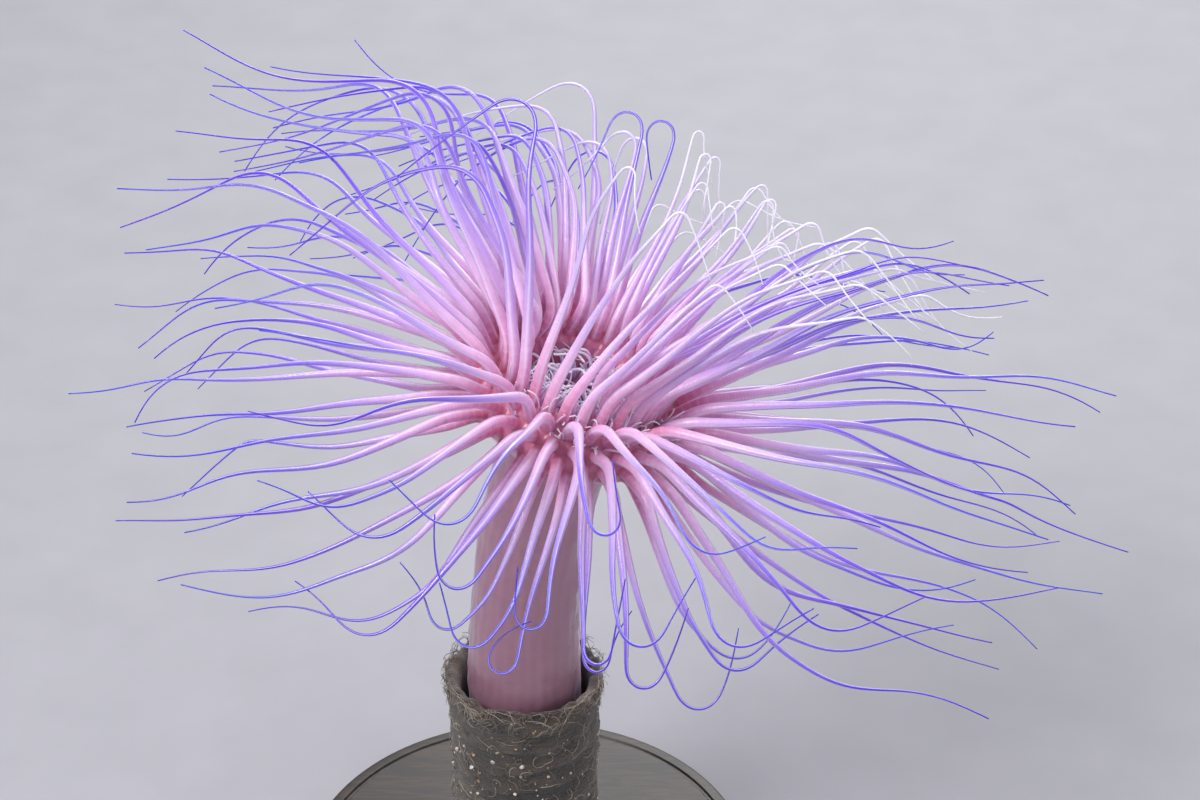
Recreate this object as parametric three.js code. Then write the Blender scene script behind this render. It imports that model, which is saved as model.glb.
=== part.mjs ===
// A tube-dwelling anemone (a ceriantharian), life size, standing open in a short length of its own felt-like
// tube on a flat round display base. Millimetres, +Z up. The origin is the centre of the base's underside and
// the display side is -Y.
//
// The crown is seen best from the display side and a little above. The lies of the tentacles are given in that
// view: "turn" goes round the line of sight (0 to the right, 90 up) and "away" tips away from the viewer.

import * as THREE from "three";

// ---- Driving dimensions ------------------------------------------------------------------------------

const GAP = 0.3; // clearance between neighbouring pieces

const BASE = { radius: 88, height: 12, bevel: 1.5, sides: 26 };

const TUBE = {
  foot: 31, // radii of its outside: at the foot, under the lip and round the lip
  mouth: 29,
  lip: 30.5,
  bore: 24, // radius inside
  top: 104,
  waist: 60, // height at which the foot's taper ends
  footHeight: 14, // height of the foot's first slope
  lipHeight: 12,
  floor: 3,
  sides: 18,
};

const COLUMN = {
  foot: 24, // height of the rounded foot above the floor
  bendFrom: 100, // height at which the straight column starts to lean
  dividedAt: 0.43, // place along the column, from foot to disc, where its two lengths meet
  cut: 0.002, // the gap between them, as a share of the column
  sides: 16,
  radii: [[0, 5], [0.02, 12], [0.08, 18], [0.3, 21], [0.43, 21.5], [0.7, 20], [1, 20.5]], // by place along it
};

const CROWN = {
  centre: new THREE.Vector3(20, -6, 230),
  leanRight: 17, // degrees that the crown's axis leans to the right
  leanFront: 5, // degrees that it leans to the display side
  rimRadius: 28, // radius of the rim's round edge, to the middle of its section
  rimSection: 11.5, // radius of that section, on whose upper side the tentacles grow
  skin: 3.6, // thickness of the rim's strips, which carry the tentacles
  underside: -30, // where the disc's piece meets the column, along the crown's axis
  sides: 20,
};

const TENTACLE = {
  cycles: [80, 55, 30, 5], // height of each cycle's roots round the rim's section, in degrees
  perCycle: 30,
  perStrip: 3, // neighbouring tentacles that share one strip of the rim
  rootRadius: 2.35,
  tipRadius: 0.34,
  taper: 1.3,
  root: [10, 18], // shortest and longest root, before the first stretch
  rootBend: 15, // length over which a root turns into the first stretch
  rings: { length: 48, turn: 50, atLeast: 5 }, // a ring for so much length, or for so many degrees of bend
};

// The lips are a ring round the mouth, on which the labial tentacles stand in two staggered rows.
const LABIAL = {
  perQuarter: 7,
  inner: 7.6,
  outer: 12.2,
  height: 1.5,
  thickness: 2,
  rows: [9.3, 10.5],
  leans: [-0.21, 0.35], // how far each row leans out from the crown's axis
  rootRadius: 0.85,
  tipRadius: 0.4,
  length: 19,
  shares: [0.35, 0.35, 0.3], // of that length, for its three stretches
  curl: 150, // degrees of the longest curl
  sway: 50, // degrees that it may tip away or nearer
  rings: { length: 30, turn: 75, atLeast: 3 },
  firstNumber: 200, // where their own numbers start, clear of those of the long ones
};

const DIVIDED = 11; // how many of the longest tentacles have their outer length as a piece of its own
const LIFT = 0.8; // how far a tentacle's first ring stands off the tissue that it grows from
const STEP = 1.5; // length of a centre line's steps

// Neighbouring centre lines keep this share of both radii and this gap apart.
const CLEAR = { share: 1.17, gap: 0.55, reach: 14, ownRings: 3, enough: 0.02, touching: 0.05, rounds: 100 };

// ---- The lies of the tentacles -----------------------------------------------------------------------

const SIGHT = 32; // degrees that the line of sight comes down from level

// Each row holds, by azimuth round the crown (0 right, 90 back, 180 left, 270 front), the turn, away and length
// of a tentacle's three stretches: its stem, its bend and its tip.
const INNER = [
  [0, [[34, -8, 54], [22, 5, 32], [-30, 5, 34]]],
  [35, [[49, -2, 42], [46, 5, 20], [-92, -5, 24]]],
  [70, [[68, 8, 46], [66, 10, 20], [-96, 0, 22]]],
  [105, [[84, 12, 46], [112, 20, 22], [188, 15, 58]]],
  [140, [[100, 10, 48], [112, 15, 28], [189, 8, 68]]],
  [180, [[120, 0, 50], [108, 5, 34], [188, 5, 74]]],
  [205, [[98, -8, 50], [112, 5, 28], [188, 5, 72]]],
  [230, [[72, -16, 58], [66, 0, 22], [-104, 5, 24]]],
  [255, [[50, -20, 52], [40, -5, 24], [-64, 0, 22]]],
  [285, [[38, -18, 58], [24, -5, 26], [-60, 0, 22]]],
  [315, [[24, -14, 64], [8, 0, 36], [-20, 5, 32]]],
];
const MIDDLE = [
  [0, [[14, 5, 66], [-6, 10, 38], [4, 8, 40]]],
  [35, [[34, 22, 46], [34, 18, 22], [-88, 5, 26]]],
  [70, [[54, 32, 52], [56, 22, 22], [-98, 5, 22]]],
  [105, [[98, 34, 46], [126, 25, 26], [190, 18, 58]]],
  [140, [[128, 26, 50], [110, 22, 32], [190, 10, 70]]],
  [180, [[142, 5, 60], [152, 8, 32], [188, 5, 46]]],
  [205, [[162, -16, 54], [180, 0, 32], [198, 0, 30]]],
  [230, [[204, -34, 46], [206, -5, 32], [150, 0, 24]]],
  [255, [[240, -34, 42], [244, -10, 28], [120, 0, 26]]],
  [285, [[292, -34, 42], [282, -12, 28], [40, 0, 28]]],
  [315, [[332, -20, 60], [326, -5, 34], [344, 5, 38]]],
];
const OUTER = [
  [0, [[-12, 15, 70], [-12, 16, 40], [-26, 8, 42]]],
  [35, [[18, 40, 66], [8, 28, 34], [-10, 15, 34]]],
  [70, [[52, 52, 60], [38, 34, 30], [-20, 15, 30]]],
  [105, [[102, 55, 58], [140, 36, 30], [190, 20, 36]]],
  [140, [[146, 42, 60], [168, 26, 34], [192, 15, 36]]],
  [180, [[168, 15, 52], [176, 12, 28], [210, 5, 28]]],
  [205, [[190, 0, 50], [180, 0, 30], [206, 0, 28]]],
  [230, [[214, -15, 48], [196, 0, 36], [196, 0, 38]]],
  [255, [[246, -14, 42], [228, -5, 22], [100, 0, 28]]],
  [285, [[276, -12, 46], [284, -5, 20], [66, 0, 30]]],
  [315, [[308, -8, 50], [338, 5, 34], [358, 5, 42]]],
];

const UNEVEN = { length: 0.12, share: 0.15, turn: [5, 10, 15], away: [7, 11, 13], wave: 5, waveLength: 75 };
const BEND = { round: 1, fold: 0.4, foldBelow: -0.45, foldTurn: 45, curl: 60 };

// Each purpose of an uneven number has a number of its own; the stretches take the ones that follow.
const FOR = {
  size: 1, turn: 2, root: 9, away: 12, share: 22, waveLength: 41, waveTurn: 42, waveAway: 43, curl: 51,
  curlSize: 52, labialCurl: 61, labialLength: 62, labialSway: 63,
};

// ---- Small helpers -----------------------------------------------------------------------------------

const RIGHT = new THREE.Vector3(1, 0, 0);
const UP = new THREE.Vector3(0, Math.sin(rad(SIGHT)), Math.cos(rad(SIGHT)));
const AWAY = new THREE.Vector3(0, Math.cos(rad(SIGHT)), -Math.sin(rad(SIGHT)));

/** Degrees as radians. */
function rad(degrees) {
  return THREE.MathUtils.degToRad(degrees);
}

/** A repeatable uneven number from 0 to 1 for item i and purpose k. */
function uneven(i, k) {
  const s = 43758.5453 * Math.sin(12.9898 * i + 78.233 * k);
  return s - Math.floor(s);
}

/** The same, from -1 to 1. */
function either(i, k) {
  return 2 * uneven(i, k) - 1;
}

/** An S-shaped step from 0 to 1. */
function ease(t) {
  const c = THREE.MathUtils.clamp(t, 0, 1);
  return c * c * (3 - 2 * c);
}

/** The direction with the given turn and away, in degrees. */
function heading(turn, away) {
  const flat = Math.cos(rad(away));
  return RIGHT.clone().multiplyScalar(flat * Math.cos(rad(turn)))
    .addScaledVector(UP, flat * Math.sin(rad(turn)))
    .addScaledVector(AWAY, Math.sin(rad(away)));
}

/** The turn and away of a direction, with the turn within half a circle of the one given. */
function anglesOf(direction, near) {
  const d = direction.clone().normalize();
  const away = THREE.MathUtils.radToDeg(Math.asin(THREE.MathUtils.clamp(d.dot(AWAY), -1, 1)));
  let turn = THREE.MathUtils.radToDeg(Math.atan2(d.dot(UP), d.dot(RIGHT)));
  while (turn - near > 180) turn -= 360;
  while (turn - near < -180) turn += 360;
  return { turn, away };
}

// ---- The crown's own frame ---------------------------------------------------------------------------

const AXIS = new THREE.Vector3(Math.sin(rad(CROWN.leanRight)), -Math.sin(rad(CROWN.leanFront)), 0);
AXIS.z = Math.sqrt(1 - AXIS.lengthSq());
const SIDE = RIGHT.clone().addScaledVector(AXIS, -AXIS.x).normalize();
const BACK = AXIS.clone().cross(SIDE);

/** A point of the crown by its azimuth in degrees, its radius and its height along the crown's axis. */
function crownPoint(azimuth, radius, height) {
  return CROWN.centre.clone()
    .addScaledVector(outward(azimuth), radius)
    .addScaledVector(AXIS, height);
}

/** The way out from the crown's axis at an azimuth. */
function outward(azimuth) {
  return SIDE.clone().multiplyScalar(Math.cos(rad(azimuth))).addScaledVector(BACK, Math.sin(rad(azimuth)));
}

/** A point on the rim's round edge, at an angle round its section and a radius from that section's middle. */
function rimPoint(azimuth, angle, section) {
  return crownPoint(azimuth, CROWN.rimRadius + section * Math.cos(rad(angle)), section * Math.sin(rad(angle)));
}

// ---- Centre lines ------------------------------------------------------------------------------------

/** Mixes two lies, each three stretches of {direction, length}. */
function mixLies(a, b, t) {
  return a.map((stretch, m) => ({
    direction: stretch.direction.clone().lerp(b[m].direction, t),
    length: THREE.MathUtils.lerp(stretch.length, b[m].length, t),
  }));
}

/** The lie that a row gives at an azimuth. */
function lieAt(row, azimuth) {
  const next = row.findIndex(([at]) => at > azimuth);
  const b = next < 0 ? 0 : next;
  const a = (b + row.length - 1) % row.length;
  const from = row[a][0];
  const span = (row[b][0] - from + 360) % 360;
  const lie = ([, stretches]) =>
    stretches.map(([turn, away, length]) => ({ direction: heading(turn, away), length }));
  return mixLies(lie(row[a]), lie(row[b]), (azimuth - from) / span);
}

/** The stretches of tentacle i: its root, stem, bend and tip, each with a turn, an away and a length. */
function stretchesOf(i, cycle, azimuth, rootDirection) {
  const place = (2 * cycle) / (TENTACLE.cycles.length - 1);
  const rows = place < 1 ? [INNER, MIDDLE] : [MIDDLE, OUTER];
  const lie = mixLies(lieAt(rows[0], azimuth), lieAt(rows[1], azimuth), place < 1 ? place : place - 1);
  const size = 1 + UNEVEN.length * either(i, FOR.size);
  const root = THREE.MathUtils.lerp(...TENTACLE.root, uneven(i, FOR.root));
  const made = [{ ...anglesOf(rootDirection, 0), length: root }];
  lie.forEach(({ direction, length }, m) => {
    const { turn, away } = anglesOf(direction, made[m].turn);
    made.push({
      turn: turn + UNEVEN.turn[m] * either(i, FOR.turn + m),
      away: away + UNEVEN.away[m] * either(i, FOR.away + m),
      length: length * size * (1 + UNEVEN.share * either(i, FOR.share + m)),
    });
  });
  return made;
}

/** The bends between stretches: where each is, over what length it turns, and by how much. */
function bendsOf(stretches) {
  let at = 0;
  return stretches.slice(1).map((next, m) => {
    const last = stretches[m];
    at += last.length;
    const drops = m === 2 && next.turn < BEND.foldTurn && heading(next.turn, next.away).z < BEND.foldBelow;
    const width = (drops ? BEND.fold : BEND.round) * Math.min(last.length, next.length);
    return {
      at,
      width: m === 0 ? TENTACLE.rootBend : width,
      turn: next.turn - last.turn,
      away: next.away - last.away,
    };
  });
}

/** Walks along the stretches from a start point and returns the centre line as points a short step apart. */
function walk(start, stretches, i) {
  const total = stretches.reduce((sum, { length }) => sum + length, 0);
  const count = Math.ceil(total / STEP);
  const step = total / count;
  const bends = bendsOf(stretches);
  const tip = stretches.at(-1).length;
  const curl = BEND.curl * either(i, FOR.curl) * uneven(i, FOR.curlSize);
  const waveLength = UNEVEN.waveLength * (0.8 + 0.5 * uneven(i, FOR.waveLength));
  const points = [start.clone()];
  for (let k = 0; k < count; k++) {
    const s = (k + 0.5) * step;
    let { turn, away } = stretches[0];
    for (const bend of bends) {
      const t = ease((s - bend.at) / bend.width + 0.5);
      turn += t * bend.turn;
      away += t * bend.away;
    }
    const wave = UNEVEN.wave * ease((2 * s) / total);
    const phase = (2 * Math.PI * s) / waveLength;
    turn += wave * Math.sin(phase + 6 * uneven(i, FOR.waveTurn)) + curl * ease((s - total + tip) / tip);
    away += wave * Math.sin(0.8 * phase + 6 * uneven(i, FOR.waveAway));
    points.push(points.at(-1).clone().addScaledVector(heading(turn, away), step));
  }
  return { points, step, total };
}

/** Picks ring centres along a walk, closer together where it bends. */
function ringsOf({ points, step, total }, spacing, radiusAt) {
  const measure = [0];
  let last = points[1].clone().sub(points[0]).normalize();
  for (let k = 1; k < points.length; k++) {
    const d = points[k].clone().sub(points[k - 1]).normalize();
    const turned = THREE.MathUtils.radToDeg(d.angleTo(last));
    measure.push(measure[k - 1] + step / spacing.length + turned / spacing.turn);
    last = d;
  }
  const whole = measure.at(-1);
  const count = Math.max(spacing.atLeast, Math.round(whole));
  const rings = [];
  let k = 0;
  for (let r = 0; r <= count; r++) {
    const want = (whole * r) / count;
    while (k < points.length - 2 && measure[k + 1] < want) k++;
    const t = THREE.MathUtils.clamp((want - measure[k]) / (measure[k + 1] - measure[k]), 0, 1);
    const s = (k + t) * step;
    rings.push({ at: points[k].clone().lerp(points[k + 1], t), radius: radiusAt(Math.min(1, s / total)) });
  }
  return rings;
}

/** A long tentacle's radius, from its root at 0 to its tip at 1. */
function tentacleRadius(t) {
  const { rootRadius, tipRadius, taper } = TENTACLE;
  return tipRadius + (rootRadius - tipRadius) * (1 - t) ** taper;
}

/** The same for a labial tentacle. */
function labialRadius(t) {
  return THREE.MathUtils.lerp(LABIAL.rootRadius, LABIAL.tipRadius, t);
}

/** The crown's tentacles, each with its strip's name and its ring centres from root to tip. */
function marginalTentacles() {
  const { cycles, perCycle } = TENTACLE;
  const made = [];
  cycles.forEach((angle, cycle) => {
    for (let k = 0; k < perCycle; k++) {
      const azimuth = (360 * (k + 0.25 + 0.5 * (cycle % 2))) / perCycle;
      const root = rimPoint(azimuth, angle, CROWN.rimSection);
      const direction = root.clone().sub(rimPoint(azimuth, angle, 0)).normalize();
      const i = cycle * perCycle + k;
      const line = walk(root, stretchesOf(i, cycle, azimuth, direction), i);
      const rings = ringsOf(line, TENTACLE.rings, tentacleRadius);
      made.push({ azimuth, total: line.total, rings: raised(rings, direction) });
    }
  });
  return made;
}

/** The short curly tentacles round the mouth. */
function labialTentacles() {
  const made = [];
  for (let k = 0; k < 4 * LABIAL.perQuarter; k++) {
    const azimuth = (90 * (k + 0.5)) / LABIAL.perQuarter;
    const root = crownPoint(azimuth, LABIAL.rows[k % 2], LABIAL.height);
    const direction = AXIS.clone().addScaledVector(outward(azimuth), LABIAL.leans[k % 2]).normalize();
    const start = anglesOf(direction, 60);
    const curl = LABIAL.curl * (k % 3 ? 1 : -1) * (0.6 + 0.4 * uneven(k, FOR.labialCurl));
    const length = LABIAL.length * (0.8 + 0.4 * uneven(k, FOR.labialLength));
    const sway = [0, 1].map((m) => LABIAL.sway * either(k, FOR.labialSway + m));
    const ways = [start, { turn: start.turn + 0.4 * curl, away: start.away + sway[0] },
      { turn: start.turn + curl, away: start.away + sway[1] }];
    const stretches = ways.map((way, m) => ({ ...way, length: length * LABIAL.shares[m] }));
    const line = walk(root, stretches, LABIAL.firstNumber + k);
    const rings = ringsOf(line, LABIAL.rings, labialRadius);
    made.push({ azimuth, total: line.total, rings: raised(rings, direction) });
  }
  return made;
}

/** Lifts a tentacle's first ring just clear of the tissue that it stands on. */
function raised(rings, direction) {
  rings[0].at.addScaledVector(direction, LIFT);
  return rings;
}

// ---- Lying clear of each other -----------------------------------------------------------------------

/** The closest points of two segments, as their places along them from 0 to 1. */
function closest(p, q, a, b) {
  const u = q.clone().sub(p);
  const v = b.clone().sub(a);
  const w = p.clone().sub(a);
  const uu = u.dot(u);
  const uv = u.dot(v);
  const vv = v.dot(v);
  const uw = u.dot(w);
  const vw = v.dot(w);
  const det = uu * vv - uv * uv;
  let s = det > 1e-9 ? THREE.MathUtils.clamp((uv * vw - vv * uw) / det, 0, 1) : 0;
  let t = (uv * s + vw) / vv;
  if (t < 0 || t > 1) {
    t = THREE.MathUtils.clamp(t, 0, 1);
    s = THREE.MathUtils.clamp((t * uv - uw) / uu, 0, 1);
  }
  return [s, t];
}

/** The pairs of segments that might come to touch. */
function nearPairs(tentacles) {
  const segments = tentacles.flatMap(({ rings }, owner) =>
    rings.slice(1).map((ring, k) => ({ owner, k, ends: [rings[k], ring] })));
  const near = [];
  segments.forEach((a, n) => {
    for (const b of segments.slice(n + 1)) {
      if (a.owner === b.owner && b.k - a.k < CLEAR.ownRings) continue;
      const [p, q] = a.ends;
      const [c, d] = b.ends;
      const reach = (p.at.distanceTo(q.at) + c.at.distanceTo(d.at)) / 2 + CLEAR.reach;
      const apart = p.at.clone().add(q.at).sub(c.at).sub(d.at).length() / 2;
      if (apart < reach) near.push([a, b]);
    }
  });
  return near;
}

/** Moves crossing tentacles apart, a little at a time, until every one lies clear of the others. */
function layClear(tentacles) {
  const near = nearPairs(tentacles);
  const moves = tentacles.map(({ rings }) => rings.map(() => ({ by: new THREE.Vector3(), weight: 0 })));
  let worst = Infinity;
  for (let round = 0; round < CLEAR.rounds && worst >= CLEAR.enough; round++) {
    worst = 0;
    for (const [a, b] of near) {
      const short = spread(a, b, moves);
      if (a.k + b.k > 0) worst = Math.max(worst, short);
    }
    tentacles.forEach(({ rings }, owner) => rings.forEach(({ at }, k) => {
      const move = moves[owner][k];
      if (k > 0 && worst >= CLEAR.enough) at.addScaledVector(move.by, 1 / Math.max(1, move.weight));
      move.by.set(0, 0, 0);
      move.weight = 0;
    }));
  }
}

/** Notes how two segments should move apart, and returns how far short of clear they are. */
function spread(a, b, moves) {
  const [p, q] = a.ends;
  const [c, d] = b.ends;
  const [s, t] = closest(p.at, q.at, c.at, d.at);
  const between = p.at.clone().lerp(q.at, s).sub(c.at.clone().lerp(d.at, t));
  const radii = THREE.MathUtils.lerp(p.radius, q.radius, s) + THREE.MathUtils.lerp(c.radius, d.radius, t);
  const apart = between.length();
  const short = CLEAR.share * radii + CLEAR.gap - apart;
  if (short <= 0) return 0;
  if (apart < CLEAR.touching) between.copy(q.at).sub(p.at).cross(d.at.clone().sub(c.at));
  between.setLength(short / 2 + CLEAR.enough);
  push(moves, a, s, between, 1);
  push(moves, b, t, between, -1);
  return short;
}

/** Shares a segment's move between its two ends. */
function push(moves, { owner, k }, t, by, sign) {
  [1 - t, t].forEach((share, end) => {
    const move = moves[owner][k + end];
    move.by.addScaledVector(by, 2 * sign * share);
    move.weight += share;
  });
}

// ---- Solids ------------------------------------------------------------------------------------------

/** A closed surface built up from rings of corners that are zipped together. */
class Shell {
  corners = [];
  triangles = [];

  /** Adds a regular ring of corners and returns their numbers, anticlockwise seen from ahead. */
  ring({ at, along, across, radius, sides }) {
    const other = along.clone().cross(across);
    return Array.from({ length: sides }, (_, n) => {
      const turn = (2 * Math.PI * n) / sides;
      const corner = at.clone()
        .addScaledVector(across, radius * Math.cos(turn))
        .addScaledVector(other, radius * Math.sin(turn));
      return this.corners.push(corner) - 1;
    });
  }

  /** Closes the wall between two rings, which may differ in their number of corners. */
  zip(below, above) {
    const [m, n] = [below.length, above.length];
    let i = 0;
    let j = 0;
    while (i < m || j < n) {
      if (i < m && (j >= n || (i + 1) / m <= (j + 1) / n)) {
        this.triangles.push([below[i], below[(i + 1) % m], above[j % n]]);
        i++;
      } else {
        this.triangles.push([below[i % m], above[(j + 1) % n], above[j]]);
        j++;
      }
    }
  }

  /** Closes a ring with a flat fan that faces ahead. */
  cap(ring) {
    for (let n = 1; n + 1 < ring.length; n++) this.triangles.push([ring[0], ring[n], ring[n + 1]]);
  }

  /** Carries a wall from a ring of corners through further sections and closes its end. */
  grow(from, sections) {
    let below = from;
    const middle = new THREE.Vector3();
    from.forEach((n) => middle.addScaledVector(this.corners[n], 1 / from.length));
    const across = this.corners[from[0]].clone().sub(middle);
    for (const { at, along, radius, sides } of sections) {
      across.addScaledVector(along, -across.dot(along)).normalize();
      const above = this.ring({ at, along, across, radius, sides });
      this.zip(below, above);
      below = above;
    }
    this.cap(below);
  }

  /** The finished surface. */
  geometry() {
    const geometry = new THREE.BufferGeometry();
    const numbers = this.corners.flatMap((corner) => corner.toArray());
    geometry.setAttribute("position", new THREE.Float32BufferAttribute(numbers, 3));
    geometry.setIndex(this.triangles.flat());
    return geometry;
  }
}

/** A closed sweep through sections {at, along, radius, sides}. */
function sweep(sections) {
  const shell = new Shell();
  const [{ at, along, radius, sides }] = sections;
  const across = Math.abs(along.z) < 0.9 ? new THREE.Vector3(0, 0, 1) : RIGHT.clone();
  across.addScaledVector(along, -across.dot(along)).normalize();
  const first = shell.ring({ at, along, across, radius, sides });
  shell.cap([...first].reverse());
  shell.grow(first, sections.slice(1));
  return shell.geometry();
}

/** A thin tentacle needs fewer sides; its corners stand out so that the section keeps its true area. */
function sectionOf(radius) {
  const sides = radius > 1.5 ? 5 : radius > 0.75 ? 4 : 3;
  const corner = (2 * Math.PI) / sides;
  return { sides, radius: radius * Math.sqrt(corner / Math.sin(corner)) };
}

/** The sections of a tentacle's solid, square to its centre line at each ring. */
function sectionsOf({ rings }) {
  return rings.map(({ at, radius }, k) => {
    const before = rings[Math.max(0, k - 1)].at;
    const after = rings[Math.min(rings.length - 1, k + 1)].at;
    return { at, along: after.clone().sub(before).normalize(), ...sectionOf(radius) };
  });
}

/**
 * A curved strip of tissue with a tentacle growing from each of its cells, as one solid. The strip's points
 * are place(azimuth, level, depth). The tentacles, as lists of sections, stand on the second depth's side.
 */
function grownStrip(place, [from, to], levels, depths, tentacles) {
  const shell = new Shell();
  const walls = [];
  for (let n = 0; n <= tentacles.length; n++) {
    const azimuth = THREE.MathUtils.lerp(from, to, n / tentacles.length);
    walls.push([[0, 0], [1, 0], [1, 1], [0, 1]].map(([level, depth]) =>
      shell.corners.push(place(azimuth, levels[level], depths[depth])) - 1));
  }
  shell.cap([...walls[0]].reverse());
  shell.cap(walls.at(-1));
  tentacles.forEach((sections, n) => {
    const [a, b] = [walls[n], walls[n + 1]];
    for (const [e, f] of [[0, 1], [1, 2], [3, 0]]) shell.cap([a[f], b[f], b[e], a[e]]);
    shell.grow([a[3], b[3], b[2], a[2]], sections);
  });
  return shell.geometry();
}

/** A turned solid, standing along Y, from a profile of [radius, height] pairs. */
function turned(profile, sides) {
  return new THREE.LatheGeometry(profile.map(([x, y]) => new THREE.Vector2(x, y)), sides);
}

// ---- The pieces --------------------------------------------------------------------------------------

/** A plain finish. */
function finish(colour, roughness) {
  return new THREE.MeshStandardMaterial({ color: colour, roughness, metalness: 0 });
}

/** A named piece. */
function piece(name, geometry, material) {
  const mesh = new THREE.Mesh(geometry, material);
  mesh.name = name;
  return mesh;
}

/** The round display base. */
function base() {
  const { radius, height, bevel, sides } = BASE;
  const profile = [[0, 0], [radius, 0], [radius, height - bevel], [radius - bevel, height], [0, height]];
  const mesh = piece("stand_base", turned(profile, sides), finish("#2b2a2e", 0.5));
  mesh.rotation.x = Math.PI / 2;
  return mesh;
}

/** The animal's own tube: a short sleeve of felted threads, open at the top and closed at the foot. */
function feltTube() {
  const bottom = BASE.height + GAP;
  const { foot, mouth, lip, bore, top, waist, footHeight, lipHeight, floor, sides } = TUBE;
  const outside = [[0, bottom], [foot, bottom], [foot - 2.5, bottom + footHeight], [mouth - 1, waist]];
  const edge = [[mouth, top - lipHeight], [lip, top - lipHeight / 3], [lip - 1, top], [bore + 2, top]];
  const inside = [[bore, top - 5], [bore, bottom + 2 * floor], [bore - 4, bottom + floor]];
  const profile = [...outside, ...edge, ...inside, [0, bottom + floor]];
  const mesh = piece("felt_tube", turned(profile, sides), finish("#6f6257", 0.95));
  mesh.rotation.x = Math.PI / 2;
  return mesh;
}

/** The column's centre line: straight up in the tube, then leaning over to the crown's axis. */
function columnPoint(t) {
  const foot = new THREE.Vector3(0, 0, COLUMN.foot);
  const bend = new THREE.Vector3(0, 0, COLUMN.bendFrom);
  const corner = CROWN.centre.clone().addScaledVector(AXIS, -CROWN.centre.x / AXIS.x);
  const end = CROWN.centre.clone().addScaledVector(AXIS, CROWN.underside);
  const path = new THREE.CurvePath();
  path.add(new THREE.LineCurve3(foot, bend));
  path.add(new THREE.QuadraticBezierCurve3(bend, corner, end));
  return { at: path.getPoint(t), along: path.getTangent(t) };
}

/** A length of the column between two places along it, from 0 at the foot to 1 under the disc. */
function columnLength(name, places) {
  const radii = COLUMN.radii;
  const rings = places.map((t) => {
    const next = Math.max(1, radii.findIndex(([at]) => at >= t));
    const [a, b] = [radii[next - 1], radii[next]];
    const radius = THREE.MathUtils.mapLinear(t, a[0], b[0], a[1], b[1]);
    return { ...columnPoint(t), radius, sides: COLUMN.sides };
  });
  return piece(name, sweep(rings), finish("#b98a9c", 0.5));
}

/** The oral disc: a shallow funnel with the mouth in its middle, on a core that the rim's strips lie round. */
function oralDisc() {
  const { rimRadius: rim, rimSection: whole, skin, underside, sides } = CROWN;
  const core = whole - skin - GAP;
  const beyond = 13; // degrees that the core runs on past the outermost and innermost roots
  const [bottom, top] = [TENTACLE.cycles.at(-1) - beyond, TENTACLE.cycles[0] + beyond];
  const round = (angle, r) => [rim + r * Math.cos(rad(angle)), r * Math.sin(rad(angle))];
  const neck = [[0, underside + GAP], [20.5, underside + GAP], [22, -21]];
  const outer = [-75, -42, bottom].map((angle) => round(angle, whole));
  const under = [bottom, 20, 52, top].map((angle) => round(angle, core));
  const inner = [top, 115].map((angle) => round(angle, whole));
  const funnel = [[17.3, 3.4], [12.5, LABIAL.height - 2.5], [7.2, LABIAL.height - 4.5], [5.2, -14], [0, -17]];
  const profile = [...neck, ...outer, ...under, ...inner, ...funnel];
  return piece("oral_disc", turned(profile, sides), finish("#c77f93", 0.45));
}

/** The rim's strips with their tentacles, and the outer lengths of the longest ones. */
function rimPieces(tentacles) {
  const { cycles, perCycle, perStrip } = TENTACLE;
  const pitch = 360 / perCycle;
  const step = (cycles[0] - cycles.at(-1)) / (cycles.length - 1);
  const slackAngle = THREE.MathUtils.radToDeg(GAP / CROWN.rimSection) / 2;
  const slackAzimuth = THREE.MathUtils.radToDeg(GAP / CROWN.rimRadius) / 2;
  const depths = [CROWN.rimSection - CROWN.skin, CROWN.rimSection];
  const longest = [...tentacles].sort((a, b) => b.total - a.total).slice(0, DIVIDED);
  const pieces = longest.map((tentacle, n) =>
    piece(`tentacle_tip_${n + 1}`, sweep(divide(tentacle).tip), finish("#6f66dd", 0.35)));
  cycles.forEach((angle, cycle) => {
    const levels = [angle - step / 2 + slackAngle, angle + step / 2 - slackAngle];
    for (let n = 0; n < perCycle / perStrip; n++) {
      const start = tentacles[cycle * perCycle + n * perStrip].azimuth - pitch / 2;
      const span = [start + slackAzimuth, start + pitch * perStrip - slackAzimuth];
      const grown = tentacles.slice(cycle * perCycle + n * perStrip).slice(0, perStrip)
        .map((tentacle) => (longest.includes(tentacle) ? divide(tentacle).stem : sectionsOf(tentacle)));
      const geometry = grownStrip(rimPoint, span, levels, depths, grown);
      pieces.push(piece(`tentacles_cycle${cycle + 1}_${n + 1}`, geometry, finish("#b79ae0", 0.35)));
    }
  });
  return pieces;
}

/** The lips round the mouth in four quarters, each with its labial tentacles. */
function lipPieces(tentacles) {
  const { perQuarter, outer, inner, height, thickness } = LABIAL;
  const slack = THREE.MathUtils.radToDeg(GAP / inner) / 2;
  return [0, 1, 2, 3].map((n) => {
    const span = [90 * n + slack, 90 * (n + 1) - slack];
    const grown = tentacles.slice(n * perQuarter, (n + 1) * perQuarter).map(sectionsOf);
    const geometry = grownStrip(crownPoint, span, [outer, inner], [height - thickness, height], grown);
    return piece(`labial_tentacles_${n + 1}`, geometry, finish("#cdbcf0", 0.4));
  });
}

/** Divides a tentacle's sections near its middle, with the usual gap between the two lengths. */
function divide(tentacle) {
  const sections = sectionsOf(tentacle);
  const middle = Math.floor(sections.length / 2);
  const cut = sections[middle];
  const half = cut.along.clone().multiplyScalar(GAP / 2);
  return {
    stem: [...sections.slice(0, middle), { ...cut, at: cut.at.clone().sub(half) }],
    tip: [{ ...cut, at: cut.at.clone().add(half) }, ...sections.slice(middle + 1)],
  };
}

// ---- The whole ---------------------------------------------------------------------------------------

const marginal = marginalTentacles();
const labial = labialTentacles();
layClear([...marginal, ...labial]);

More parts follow.
